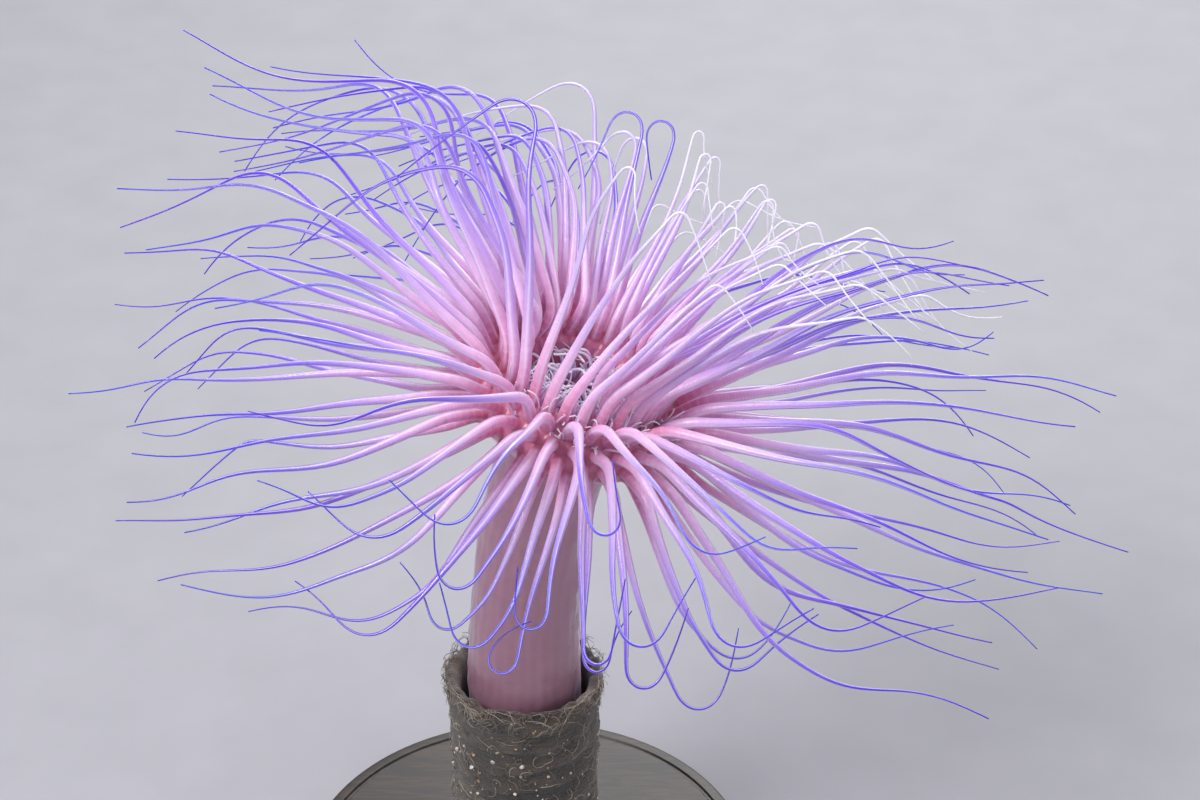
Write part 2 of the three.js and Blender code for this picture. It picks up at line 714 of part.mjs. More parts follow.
const anemone = new THREE.Group();
const { dividedAt, cut } = COLUMN;
anemone.add(base(), feltTube());
anemone.add(columnLength("column_lower", [0, 0.02, 0.08, 0.3, dividedAt - cut / 2]));
anemone.add(columnLength("column_upper", [dividedAt + cut / 2, 0.6, 0.8, 1]));

const crown = new THREE.Group();
crown.position.copy(CROWN.centre);
crown.quaternion.setFromRotationMatrix(new THREE.Matrix4().makeBasis(SIDE, AXIS, BACK.clone().negate()));
crown.add(oralDisc());
anemone.add(crown, ...rimPieces(marginal), ...lipPieces(labial));

export default anemone;
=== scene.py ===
"""Dresses a tube-dwelling anemone on its display base: flesh, felt tube, base and studio.

Places and lengths are worked out in millimetres and become metres where a mesh is made. The origin is the
centre of the base's underside, +Z is up and the display side is -Y. The lies of the tentacles are given in
the display view: "turn" goes round the line of sight (0 to the right, 90 up) and "away" tips away from it.
"""

from __future__ import annotations

import logging
import math
from collections.abc import Iterable, Sequence
from dataclasses import dataclass, field
from enum import Enum, IntEnum
from functools import cached_property

import bmesh
import bpy
import numpy as np
from mathutils import Matrix, Vector, kdtree, noise


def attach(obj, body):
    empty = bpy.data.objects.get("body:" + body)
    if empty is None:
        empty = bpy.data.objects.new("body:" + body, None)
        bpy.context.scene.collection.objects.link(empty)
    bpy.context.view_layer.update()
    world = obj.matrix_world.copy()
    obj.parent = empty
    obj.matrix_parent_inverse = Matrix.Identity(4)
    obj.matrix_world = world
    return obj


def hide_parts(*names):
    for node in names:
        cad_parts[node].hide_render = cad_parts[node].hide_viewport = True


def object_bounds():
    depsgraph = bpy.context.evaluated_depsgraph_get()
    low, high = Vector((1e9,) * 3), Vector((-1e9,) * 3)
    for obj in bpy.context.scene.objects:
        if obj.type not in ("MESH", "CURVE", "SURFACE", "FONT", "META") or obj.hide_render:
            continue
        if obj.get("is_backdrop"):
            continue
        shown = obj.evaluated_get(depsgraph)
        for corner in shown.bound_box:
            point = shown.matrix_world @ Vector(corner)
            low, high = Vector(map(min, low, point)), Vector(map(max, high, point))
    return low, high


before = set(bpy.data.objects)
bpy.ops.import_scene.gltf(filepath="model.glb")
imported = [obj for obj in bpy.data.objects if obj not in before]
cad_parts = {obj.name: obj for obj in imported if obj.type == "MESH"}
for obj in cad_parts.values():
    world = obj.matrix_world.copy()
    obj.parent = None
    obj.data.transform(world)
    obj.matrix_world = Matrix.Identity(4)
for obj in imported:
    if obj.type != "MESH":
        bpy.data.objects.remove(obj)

CAD_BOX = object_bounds()
MM = 0.001
LOG = logging.getLogger("anemone")

Vec = np.ndarray
Pair = tuple[float, float]
Stop = tuple[float, str]


# ---- Shader maths ----


def linear(code: str) -> tuple[float, float, float, float]:
    """The linear colour of a six-digit sRGB code.

    Args:
        code: six hexadecimal digits, red first.

    Returns:
        Red, green, blue and an alpha of 1.
    """
    parts = [int(code[n:n + 2], 16) / 255 for n in (0, 2, 4)]
    red, green, blue = [p / 12.92 if p <= 0.04045 else ((p + 0.055) / 1.055) ** 2.4 for p in parts]
    return red, green, blue, 1.0


class Value:
    """A number on a socket. Arithmetic on it adds Math nodes to its graph."""

    def __init__(self, graph: Graph, socket: bpy.types.NodeSocket) -> None:
        """Keeps the graph and the socket that carries the number."""
        self.graph = graph
        self.socket = socket

    def _maths(self, operation: str, *terms: Term) -> Value:
        """Adds a Math node and returns its result."""
        node = self.graph.node("ShaderNodeMath", {"operation": operation}, dict(enumerate(terms)))
        return Value(self.graph, node.outputs[0])

    def __add__(self, other: Term) -> Value:
        """This number plus another."""
        return self._maths("ADD", self, other)

    __radd__ = __add__

    def __sub__(self, other: Term) -> Value:
        """This number less another."""
        return self._maths("SUBTRACT", self, other)

    def __rsub__(self, other: Term) -> Value:
        """Another number less this one."""
        return self._maths("SUBTRACT", other, self)

    def __mul__(self, other: Term) -> Value:
        """This number times another."""
        return self._maths("MULTIPLY", self, other)

    __rmul__ = __mul__

    def sine(self) -> Value:
        """The sine of this number, in radians."""
        return self._maths("SINE", self)

    def between(self, low: float, high: float) -> Value:
        """Where this number stands between two others, from 0 to 1 with soft ends.

        Args:
            low: the number that gives 0.
            high: the number that gives 1.

        Returns:
            The eased step.
        """
        sockets = {"Value": self, "From Min": low, "From Max": high}
        node = self.graph.node("ShaderNodeMapRange", {"interpolation_type": "SMOOTHSTEP"}, sockets)
        return Value(self.graph, node.outputs["Result"])


Term = Value | float | int
Tint = bpy.types.NodeSocket | tuple


class Graph:
    """The nodes of one material, with the surface shader in place."""

    def __init__(self, name: str) -> None:
        """Starts a material that holds a surface shader and its output.

        Args:
            name: the material's name.
        """
        self.material = bpy.data.materials.new(name)
        self.material.use_nodes = True
        self.tree = self.material.node_tree
        self.tree.nodes.clear()
        self.surface = self.tree.nodes.new("ShaderNodeBsdfPrincipled")
        output = self.tree.nodes.new("ShaderNodeOutputMaterial")
        self.tree.links.new(self.surface.outputs[0], output.inputs["Surface"])

    def node(self, kind: str, settings: dict | None = None, sockets: dict | None = None) -> bpy.types.Node:
        """Adds a node.

        Args:
            kind: the node's type.
            settings: its properties, set first; "stops" gives a ramp its places and colours.
            sockets: values or links of its inputs, by name or number.

        Returns:
            The new node.
        """
        made = self.tree.nodes.new(kind)
        for name, value in (settings or {}).items():
            if name == "stops":
                self._set_stops(made.color_ramp, value)
            else:
                setattr(made, name, value)
        for key, value in (sockets or {}).items():
            self.feed(made.inputs[key], value)
        return made

    @staticmethod
    def _set_stops(ramp: bpy.types.ColorRamp, stops: Sequence[Stop]) -> None:
        """Gives a colour ramp its stops.

        Args:
            ramp: the ramp, which starts with two elements.
            stops: places from 0 to 1, each with a colour code.
        """
        while len(ramp.elements) < len(stops):
            ramp.elements.new(0.5)
        for element, (place, code) in zip(ramp.elements, stops):
            element.position = place
            element.color = linear(code)

    def feed(self, socket: bpy.types.NodeSocket, value: Term | Tint) -> None:
        """Links a value or colour to an input, or sets it there.

        Args:
            socket: the input.
            value: a Value, an output socket, a number or a tuple.
        """
        if isinstance(value, Value):
            self.tree.links.new(value.socket, socket)
        elif isinstance(value, bpy.types.NodeSocket):
            self.tree.links.new(value, socket)
        else:
            socket.default_value = value

    def set(self, **sockets: Term | Tint) -> None:
        """Feeds the surface shader; an underscore in a name stands for a space."""
        for name, value in sockets.items():
            self.feed(self.surface.inputs[name.replace("_", " ")], value)

    def attribute(self, name: str) -> Value:
        """A number that the mesh carries under a name."""
        node = self.node("ShaderNodeAttribute", {"attribute_name": name})
        return Value(self, node.outputs["Fac"])

    def ramp(self, place: Value, stops: Sequence[Stop]) -> bpy.types.NodeSocket:
        """The colour at a place along a row of stops."""
        return self.node("ShaderNodeValToRGB", {"stops": stops}, {"Fac": place}).outputs["Color"]

    def mix(self, a: Tint, b: Tint, share: Term) -> bpy.types.NodeSocket:
        """Mixes two colours.

        Args:
            a: the colour at a share of 0.
            b: the colour at a share of 1.
            share: how much of b shows.

        Returns:
            The mixed colour.
        """
        return self.node("ShaderNodeMix", {"data_type": "RGBA"}, {0: share, 6: a, 7: b}).outputs[2]

    def shifted(
        self, tint: Tint, hue: Term = 0.5, saturation: Term = 1.0, value: Term = 1.0,
    ) -> bpy.types.NodeSocket:
        """A colour with its hue, saturation and lightness changed.

        Args:
            tint: the colour.
            hue: 0.5 leaves it as it is.
            saturation: 1 leaves it as it is.
            value: 1 leaves it as it is.

        Returns:
            The changed colour.
        """
        sockets = {"Hue": hue, "Saturation": saturation, "Value": value, "Color": tint}
        return self.node("ShaderNodeHueSaturation", {}, sockets).outputs[0]

    def grain(self, scale: float, detail: float, stretch: tuple = (1, 1, 1)) -> Value:
        """Noise in the object's own space.

        Args:
            scale: lumps in a metre.
            detail: how many finer layers it has.
            stretch: how much finer it is along each axis.

        Returns:
            The noise, about 0.5 in the middle.
        """
        place = self.node("ShaderNodeTexCoord").outputs["Object"]
        mapped = self.node("ShaderNodeMapping", {}, {"Vector": place, "Scale": stretch}).outputs[0]
        sockets = {"Vector": mapped, "Scale": scale, "Detail": detail}
        return Value(self, self.node("ShaderNodeTexNoise", {}, sockets).outputs[0])

    def bump(self, height: Value, strength: float, distance: float) -> None:
        """Raises the surface's normal by a height.

        Args:
            height: what is raised.
            strength: how strongly it shows.
            distance: the height of 1, in metres.
        """
        sockets = {"Height": height, "Strength": strength, "Distance": distance}
        self.set(Normal=self.node("ShaderNodeBump", {}, sockets).outputs[0])


# ---- Finishes ----


@dataclass(frozen=True)
class FleshFinish:
    """Moist, translucent flesh: rosy at the tentacles' roots, lilac along them and violet at their ends,
    with painted highlights in pale streaks along the tentacles and in the whitish ends of some, and painted
    shade deep in the funnel and down the throat.
    """

    stem: tuple[Stop, ...] = (
        (0.0, "e08fb0"), (0.06, "e6aace"), (0.18, "e6bfe6"), (0.34, "c6aaf0"),
        (0.52, "937eec"), (0.72, "5b4fde"), (1.0, "2f27c2"),
    )
    # Whitish colours for the tentacles that fold over and for some over the mouth: painted light.
    pale: tuple[Stop, ...] = (
        (0.0, "e08fb0"), (0.06, "e6aace"), (0.2, "e8c2e6"), (0.4, "d3b9f3"),
        (0.6, "cfbff7"), (0.75, "ece4fd"), (1.0, "faf6ff"),
    )
    # Along the body from foot to throat: darker towards the foot, and darker deeper in the funnel and down
    # into the mouth as painted shade.
    body: tuple[Stop, ...] = (
        (0.0, "93707c"), (0.3, "ae8292"), (0.46, "c48fa4"), (0.55, "dd8ca6"), (0.68, "da83a2"),
        (0.74, "bd6488"), (0.82, "96425f"), (0.88, "b96c8e"), (0.94, "6a2742"), (1.0, "2e0f1e"),
    )
    labial: tuple[Stop, ...] = ((0.0, "c48cbe"), (0.2, "dcc8f8"), (1.0, "f8f4ff"))
    band: str = "fbe6ef"
    # The pale streaks along the tentacles are painted highlights.
    painted_highlight: str = "f4e8ff"
    sheen: str = "f0e4ff"

    def material(self) -> bpy.types.Material:
        """Makes the material.

        Returns:
            A material that reads the skin's own attributes.
        """
        g = Graph("flesh")
        along, place, tone = g.attribute("along"), g.attribute("place"), g.attribute("tone")
        length, stripe = g.attribute("length"), g.attribute("stripe")
        mottle = g.grain(260, 4)
        uneven_place = along + 0.16 * (tone - 0.5) + 0.05 * (mottle - 0.5)
        # The whitish ramp is mixed in where the skin asks for painted light.
        stems = g.mix(g.ramp(uneven_place, self.stem), g.ramp(uneven_place, self.pale), g.attribute("pale"))
        rings = (length * 1.9 + mottle * 5).sine().between(0.1, 1.0)
        banded = g.mix(stems, linear(self.band), 0.16 * rings * (1 - along.between(0.04, 0.22)))
        # Pale streaks round each tentacle, fading towards its end: painted highlights.
        streaks = stripe.between(0.1, 1.0) * (1 - along.between(0.75, 1.0))
        banded = g.mix(banded, linear(self.painted_highlight), 0.6 * streaks)
        # The body's ramp paints shade deeper in the funnel and down the throat.
        body = g.ramp(place + 0.02 * (mottle - 0.5), self.body)
        faint = 0.05 * g.grain(30, 2)
        ribs = stripe * (faint + 0.13 * place.between(0.7, 0.73) * (1 - place.between(0.85, 0.87)))
        ribbed = g.shifted(body, value=0.97 + ribs)
        grown = g.mix(ribbed, banded, along.between(0.0, 0.03))
        fleshed = g.mix(grown, g.ramp(along, self.labial), g.attribute("labial"))
        hue = 0.49 + 0.02 * tone
        g.set(Base_Color=g.shifted(fleshed, hue, 1.04, 0.9 + 0.2 * mottle))
        g.set(Roughness=0.22 + 0.18 * mottle)
        g.set(Subsurface_Weight=0.5, Subsurface_Radius=(1.0, 0.7, 1.0), Subsurface_Scale=0.003)
        g.set(Coat_Weight=0.5, Coat_Roughness=0.12, Sheen_Weight=1.0, Sheen_Roughness=0.25)
        g.set(Sheen_Tint=linear(self.sheen))
        fine = g.grain(1500, 2)
        wrinkles = (length * 5.2 + fine * 3).sine() * 0.3
        g.bump(fine + wrinkles + 8 * ribs * (1 - along.between(0.0, 0.02)), 0.35, 0.00022)
        return g.material


@dataclass(frozen=True)
class FeltFinish:
    """Grey-brown felt of matted threads, darker in its folds as painted shade and paler where it stands out
    as painted light.
    """

    stops: tuple[Stop, ...] = (
        (0.0, "2f2620"), (0.35, "54463a"), (0.6, "75665a"), (0.85, "978a7c"), (1.0, "b3a797"),
    )

    def material(self) -> bpy.types.Material:
        """Makes the material.

        Returns:
            A material with matted, mostly level streaks.
        """
        g = Graph("matted felt")
        patches = g.grain(60, 5)
        streaks = g.grain(240, 6, (1, 1, 3.4))
        fibres = g.grain(900, 4, (1, 1, 4.5))
        # The relief darkens the folds and lightens what stands out: painted shade and light.
        depth = g.attribute("raised")
        height = 0.35 * patches + 0.4 * streaks + 0.3 * fibres
        g.set(Base_Color=g.ramp((height + 0.3 * depth - 0.3) * 1.3, self.stops))
        g.set(Roughness=0.86 + 0.12 * fibres, Sheen_Weight=0.35, Sheen_Roughness=0.6)
        g.bump(0.8 * streaks + 0.7 * fibres, 0.9, 0.0011)
        return g.material


@dataclass(frozen=True)
class ThreadFinish:
    """The loose threads of the felt, each its own shade of grey-brown."""

    stops: tuple[Stop, ...] = ((0.0, "4f4338"), (0.5, "85786a"), (1.0, "c2b8a8"))

    def material(self) -> bpy.types.Material:
        """Makes the material.

        Returns:
            A dull material that reads each thread's tone.
        """
        g = Graph("loose threads")
        speckle = g.grain(700, 3)
        g.set(Base_Color=g.ramp(g.attribute("tone") + 0.4 * (speckle - 0.5), self.stops))
        g.set(Roughness=0.75 + 0.2 * speckle, Sheen_Weight=0.3, Subsurface_Weight=0.1)
        g.set(Subsurface_Radius=(1.0, 0.8, 0.6), Subsurface_Scale=0.0006)
        return g.material


@dataclass(frozen=True)
class GritFinish:
    """Sand and shell crumbs that stick to the felt."""

    stops: tuple[Stop, ...] = (
        (0.0, "3a3430"), (0.2, "8c6f52"), (0.4, "c9a97e"), (0.6, "e3d4b8"), (0.8, "f2ede2"), (1.0, "b7b4b0"),
    )

    def material(self) -> bpy.types.Material:
        """Makes the material.

        Returns:
            A material that reads each grain's tone.
        """
        g = Graph("sand grains")
        speckle = g.grain(1400, 4)
        g.set(Base_Color=g.ramp(g.attribute("tone") + 0.25 * (speckle - 0.5), self.stops))
        g.set(Roughness=0.3 + 0.5 * speckle, Coat_Weight=0.1)
        g.bump(speckle, 0.4, 0.0002)
        return g.material


@dataclass(frozen=True)
class LacquerFinish:
    """Dark wood under a satin lacquer, with the grain running from side to side."""

    stops: tuple[Stop, ...] = ((0.0, "120d0b"), (0.4, "1f1612"), (0.65, "2c1f19"), (1.0, "3f2d24"))

    def material(self) -> bpy.types.Material:
        """Makes the material.

        Returns:
            A material with a long wood grain and fine pores.
        """
        g = Graph("lacquered wood")
        figure = g.grain(14, 5, (1, 9, 9))
        pores = g.grain(90, 4, (1, 22, 22))
        lines = (figure * 46 + pores * 2).sine() * 0.5 + 0.5
        g.set(Base_Color=g.ramp(0.55 * lines + 0.5 * pores, self.stops))
        g.set(Roughness=0.42 + 0.16 * pores, Coat_Weight=0.15, Coat_Roughness=0.3)
        g.bump(pores + 0.3 * lines, 0.2, 0.0002)
        return g.material


@dataclass(frozen=True)
class FloorFinish:
    """A plain pale studio floor with a faint tooth."""

    low: str = "a3a2a9"
    high: str = "a8a7ae"

    def material(self) -> bpy.types.Material:
        """Makes the material.

        Returns:
            A matt, nearly even material.
        """
        g = Graph("studio floor")
        tooth = g.grain(30, 3)
        g.set(Base_Color=g.ramp(tooth, ((0.3, self.low), (0.7, self.high))))
        g.set(Roughness=0.8 + 0.1 * tooth)
        return g.material


# ---- Small helpers ----


class Purpose(IntEnum):
    """What an uneven number is for; the three stretches of a lie count on from some of them."""

    SIZE = 1
    TURN = 2
    ROOT_LENGTH = 9
    AWAY = 12
    LENGTH = 22
    THREAD_ROUND = 31
    THREAD_ACROSS = 32
    THREAD_LEAN = 33
    THREAD_CURL = 34
    THREAD_LENGTH = 35
    THREAD_BEND = 36
    THREAD_TIP = 37
    WAVE_LENGTH = 41
    WAVE_TURN = 42
    WAVE_AWAY = 43
    CURL_WAY = 51
    CURL_SHARE = 52
    LABIAL_CURL = 61
    LABIAL_LENGTH = 62
    LABIAL_BEND = 63
    LABIAL_TIP = 64
    TONE = 71
    PALE = 72


def uneven(number: int, purpose: int) -> float:
    """A repeatable uneven number from 0 to 1 for an item and a purpose."""
    swing = 43758.5453 * math.sin(12.9898 * number + 78.233 * purpose)
    return swing - math.floor(swing)


def either(number: int, purpose: int) -> float:
    """The same, from -1 to 1."""
    return 2 * uneven(number, purpose) - 1


def spread(sizes: Pair, number: int, purpose: int) -> float:
    """A size for an item: the first of the pair, and an uneven share of the second on top."""
    return sizes[0] + sizes[1] * uneven(number, purpose)


def ease(t: np.ndarray | float) -> np.ndarray:
    """An S-shaped step from 0 to 1."""
    c = np.clip(t, 0, 1)
    return c * c * (3 - 2 * c)


def band(t: np.ndarray, first: float, last: float, edge: float) -> np.ndarray:
    """1 between two numbers and 0 outside them, with soft edges inside."""
    return ease((t - first) / edge) * ease((last - t) / edge)


def unit(v: Vec) -> Vec:
    """A vector at length 1; a list of vectors has each at length 1."""
    return v / np.linalg.norm(v, axis=-1, keepdims=True)


def across(points: np.ndarray, at: np.ndarray, wanted: np.ndarray) -> np.ndarray:
    """Reads a row of points at wanted places.

    Args:
        points: one row for each known place.
        at: the known places, rising.
        wanted: where to read.

    Returns:
        One row for each wanted place.
    """
    return np.stack([np.interp(wanted, at, points[:, axis]) for axis in range(points.shape[1])], axis=1)


def softened(rows: np.ndarray, times: int) -> np.ndarray:
    """Evens out a row of vectors, with its first kept.

    Args:
        rows: the vectors in order.
        times: how often each is mixed with its two neighbours.

    Returns:
        The softened row.
    """
    soft = rows.copy()
    for _ in range(times):
        padded = np.vstack([soft, soft[-1:]])
        soft[1:] = 0.25 * padded[:-2] + 0.5 * padded[1:-1] + 0.25 * padded[2:]
    return soft


def activate(obj: bpy.types.Object) -> None:
    """Leaves one object selected and active."""
    bpy.ops.object.select_all(action="DESELECT")
    obj.select_set(True)
    bpy.context.view_layer.objects.active = obj


def dressed(obj: bpy.types.Object, material: bpy.types.Material, nodes: Iterable[str]) -> None:
    """Gives a finished piece its material, its body and the nodes that it stands for.

    Args:
        obj: the piece.
        material: its finish.
        nodes: the CAD nodes that it replaces; none for an added piece.
    """
    obj.data.materials.clear()
    obj.data.materials.append(material)
    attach(obj, "root")
    names = list(nodes)
    if names:
        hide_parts(*names)
    triangles = sum(len(p.vertices) - 2 for p in obj.data.polygons)
    LOG.info("%s: %d triangles, stands for %d nodes", obj.name, triangles, len(names))


# ---- Turned forms ----


@dataclass(frozen=True)
class Round:
    """One round of a turned form: its middle, its radius, the way ahead and the way to its first side."""

    centre: Vec
    radius: float
    along: Vec
    side: Vec
    place: float = 0.0

    @property
    def matrix(self) -> Matrix:
        """The round's frame, in metres."""
        columns = (self.side, np.cross(self.along, self.side), self.along)
        frame_axes = Matrix([[float(c[row]) for c in columns] for row in range(3)])
        return Matrix.Translation(Vector(self.centre * MM)) @ frame_axes.to_4x4()


@dataclass
class Turning:
    """A closed form made from circles, one bridged to the next, and closed at both ends."""

    name: str
    rounds: Sequence[Round]
    segments: int
    first_turn: float = 0.0

    def build(self) -> bpy.types.Object:
        """Makes the mesh.

        Returns:
            The object, at the origin. Its vertices come round by round, then the two poles.
        """
        for number, item in enumerate(self.rounds):
            turned = item.matrix @ Matrix.Rotation(math.radians(self.first_turn), 4, "Z")
            circle = {"vertices": self.segments, "radius": item.radius * MM}
            circle |= {"location": turned.translation, "rotation": turned.to_euler()}
            if number == 0:
                bpy.ops.object.select_all(action="DESELECT")
                bpy.ops.mesh.primitive_circle_add(**circle)
                obj = bpy.context.object
                bpy.ops.object.transform_apply(location=True, rotation=True, scale=True)
                bpy.ops.object.mode_set(mode="EDIT")
                bpy.context.tool_settings.mesh_select_mode = (True, False, False)
                continue
            bpy.ops.mesh.select_all(action="DESELECT")
            bpy.ops.mesh.primitive_circle_add(**circle)
            self._select(obj, number - 1, number)
            bpy.ops.mesh.bridge_edge_loops()
        for end in (0, len(self.rounds) - 1):
            self._select(obj, end, end)
            bpy.ops.mesh.edge_face_add()
            bpy.ops.mesh.poke()
        bpy.ops.mesh.select_all(action="SELECT")
        bpy.ops.mesh.normals_make_consistent(inside=False)
        bpy.ops.object.mode_set(mode="OBJECT")
        obj.name = obj.data.name = self.name
        return obj

    def unwrap(self, obj: bpy.types.Object, strip: Patch, heights: Sequence[float]) -> None:
        """Unwraps the made form as a strip, round by round, into the map OFBake.

        Args:
            obj: the object that build gave.
            strip: its part of the map.
            heights: how far up the strip each round stands, from 0 to 1.
        """
        layer = obj.data.uv_layers.new(name="OFBake")
        count = len(self.rounds) * self.segments
        for polygon in obj.data.polygons:
            corners = list(polygon.vertices)
            turned = [v % self.segments for v in corners if v < count]
            wraps = max(turned) - min(turned) > self.segments / 2
            for loop, vertex in zip(polygon.loop_indices, corners):
                turn = vertex % self.segments if vertex < count else turned[0]
                if wraps and turn < self.segments / 2:
                    turn += self.segments
                pole = 0 if vertex == count else len(self.rounds) - 1
                row = vertex // self.segments if vertex < count else pole
                layer.data[loop].uv = strip.place(turn / self.segments, heights[row])

    def _select(self, obj: bpy.types.Object, first: int, last: int) -> None:
        """Selects a stretch of rounds, and nothing else.

        Args:
            obj: the form, in edit mode.
            first: the first round's number.
            last: the last round's number.
        """
        mesh = bmesh.from_edit_mesh(obj.data)
        low, high = first * self.segments, (last + 1) * self.segments
        bpy.ops.mesh.select_all(action="DESELECT")
        mesh.verts.ensure_lookup_table()
        for number in range(low, high):
            mesh.verts[number].select = True
        mesh.select_flush(True)
        bmesh.update_edit_mesh(obj.data)


def read_places(obj: bpy.types.Object) -> np.ndarray:
    """The places of a mesh's vertices, in millimetres."""
    places = np.zeros(3 * len(obj.data.vertices), np.float32)
    obj.data.vertices.foreach_get("co", places)
    return places.reshape(-1, 3).astype(float) / MM


def write_places(obj: bpy.types.Object, places: np.ndarray) -> None:
    """Moves a mesh's vertices to places in millimetres."""
    obj.data.vertices.foreach_set("co", (places * MM).astype(np.float32).ravel())
    obj.data.update()


def write_values(obj: bpy.types.Object, values: dict[str, np.ndarray]) -> None:
    """Stores numbers on a mesh's vertices, each list under its name."""
    for name, numbers in values.items():
        layer = obj.data.attributes.new(name, "FLOAT", "POINT")
        layer.data.foreach_set("value", np.asarray(numbers, np.float32))


# ---- The display view and the crown's frame ----


@dataclass(frozen=True)
class Sight:
    """The display view, in which the lies of the tentacles are given."""

    down: float = 32.0

    @cached_property
    def axes(self) -> np.ndarray:
        """The view's right, up and away, one to a row."""
        sine, cosine = math.sin(math.radians(self.down)), math.cos(math.radians(self.down))
        return np.array([(1, 0, 0), (0, sine, cosine), (0, cosine, -sine)], float)

    def heading(self, turn: np.ndarray | float, away: np.ndarray | float) -> np.ndarray:
        """The direction with a turn and an away.

        Args:
            turn: degrees round the line of sight.
            away: degrees away from the viewer.

        Returns:
            One direction, or one for each of a list of turns.
        """
        t, a = np.radians(turn), np.radians(away)
        return np.stack([np.cos(a) * np.cos(t), np.cos(a) * np.sin(t), np.sin(a)], axis=-1) @ self.axes

    def angles(self, direction: Vec, near: float) -> Pair:
        """The turn and away of a direction.

        Args:
            direction: any vector.
            near: the turn comes within half a circle of this one.

        Returns:
            The turn and the away, in degrees.
        """
        right, up, away = self.axes @ unit(direction)
        turn = math.degrees(math.atan2(up, right))
        turn += 360 * round((near - turn) / 360)
        return turn, math.degrees(math.asin(max(-1.0, min(1.0, away))))


@dataclass(frozen=True)
class Crown:
    """The disc's own frame and rim. Azimuth goes round it: 0 right, 90 back, 180 left and 270 front."""

    centre: tuple[float, float, float] = (20, -6, 230)
    lean_right: float = 17
    lean_front: float = 5
    rim_radius: float = 28
    rim_section: float = 11.5
    underside: float = -30

    @cached_property
    def axis(self) -> Vec:
        """The way that the disc faces."""
        x, y = math.sin(math.radians(self.lean_right)), -math.sin(math.radians(self.lean_front))
        return np.array((x, y, math.sqrt(1 - x * x - y * y)))

    @cached_property
    def side(self) -> Vec:
        """The way to azimuth 0."""
        return unit(np.array((1, 0, 0)) - self.axis * self.axis[0])

    @cached_property
    def back(self) -> Vec:
        """The way to azimuth 90."""
        return np.cross(self.axis, self.side)

    def outward(self, azimuth: float) -> Vec:
        """The way out from the axis at an azimuth."""
        return self.side * math.cos(math.radians(azimuth)) + self.back * math.sin(math.radians(azimuth))

    def point(self, azimuth: float, radius: float, height: float) -> Vec:
        """A point by its azimuth, its radius and its height along the axis."""
        return np.array(self.centre) + self.outward(azimuth) * radius + self.axis * height

    def rim(self, azimuth: float, angle: float, section: float) -> Vec:
        """A point at an angle round the rim's section and a radius from that section's middle."""
        a = math.radians(angle)
        return self.point(azimuth, self.rim_radius + section * math.cos(a), section * math.sin(a))

    def about_rim(self, places: np.ndarray) -> tuple[np.ndarray, np.ndarray, np.ndarray]:
        """Where places stand about the rim.

        Args:
            places: one place to a row.

        Returns:
            Their azimuths, their distances off the rim's skin and their angles round its section.
        """
        off = places - np.array(self.centre)
        x, y, z = off @ self.side, off @ self.back, off @ self.axis
        out = np.hypot(x, y) - self.rim_radius
        lift = np.hypot(out, z) - self.rim_section
        return np.degrees(np.arctan2(y, x)), lift, np.degrees(np.arctan2(z, out))


# ---- Centre lines ----

# Each row holds, by azimuth, the turn, away and length of a tentacle's stem, bend and tip.
INNER = {
    0: ((34, -8, 54), (22, 5, 32), (-30, 5, 34)),
    35: ((49, -2, 42), (46, 5, 20), (-92, -5, 24)),
    70: ((68, 8, 46), (66, 10, 20), (-96, 0, 22)),
    105: ((84, 12, 46), (112, 20, 22), (188, 15, 58)),
    140: ((100, 10, 48), (112, 15, 28), (189, 8, 68)),
    180: ((120, 0, 50), (108, 5, 34), (188, 5, 74)),
    205: ((98, -8, 50), (112, 5, 28), (188, 5, 72)),
    230: ((72, -16, 58), (66, 0, 22), (-104, 5, 24)),
    255: ((50, -20, 52), (40, -5, 24), (-64, 0, 22)),
    285: ((38, -18, 58), (24, -5, 26), (-60, 0, 22)),
    315: ((24, -14, 64), (8, 0, 36), (-20, 5, 32)),
}
MIDDLE = {
    0: ((14, 5, 66), (-6, 10, 38), (4, 8, 40)),
    35: ((34, 22, 46), (34, 18, 22), (-88, 5, 26)),
    70: ((54, 32, 52), (56, 22, 22), (-98, 5, 22)),
    105: ((98, 34, 46), (126, 25, 26), (190, 18, 58)),
    140: ((128, 26, 50), (110, 22, 32), (190, 10, 70)),
    180: ((142, 5, 60), (152, 8, 32), (188, 5, 46)),
    205: ((162, -16, 54), (180, 0, 32), (198, 0, 30)),
    230: ((204, -34, 46), (206, -5, 32), (150, 0, 24)),
    255: ((240, -34, 42), (244, -10, 28), (120, 0, 26)),
    285: ((292, -34, 42), (282, -12, 28), (40, 0, 28)),
    315: ((332, -20, 60), (326, -5, 34), (344, 5, 38)),
}
OUTER = {
    0: ((-12, 15, 70), (-12, 16, 40), (-26, 8, 42)),
    35: ((18, 40, 66), (8, 28, 34), (-10, 15, 34)),
    70: ((52, 52, 60), (38, 34, 30), (-20, 15, 30)),
    105: ((102, 55, 58), (140, 36, 30), (190, 20, 36)),
    140: ((146, 42, 60), (168, 26, 34), (192, 15, 36)),
    180: ((168, 15, 52), (176, 12, 28), (210, 5, 28)),
    205: ((190, 0, 50), (180, 0, 30), (206, 0, 28)),
    230: ((214, -15, 48), (196, 0, 36), (196, 0, 38)),
    255: ((246, -14, 42), (228, -5, 22), (100, 0, 28)),
    285: ((276, -12, 46), (284, -5, 20), (66, 0, 30)),
    315: ((308, -8, 50), (338, 5, 34), (358, 5, 42)),
}


class Kind(Enum):
    """The kinds of tentacle: long on the rim, slender beside them, short round the mouth, and blunt buds."""

    MARGINAL = "marginal"
    SLENDER = "slender"
    LABIAL = "labial"
    BUD = "bud"


@dataclass(frozen=True)
class Stretch:
    """One stretch of a tentacle: its direction in the display view and its length."""

    turn: float
    away: float
    length: float


@dataclass(frozen=True)
class Spacing:
    """How far apart rings stand: a whole step is this length straight on, or this many degrees of bend."""

    length: float
    turn: float
    at_least: int


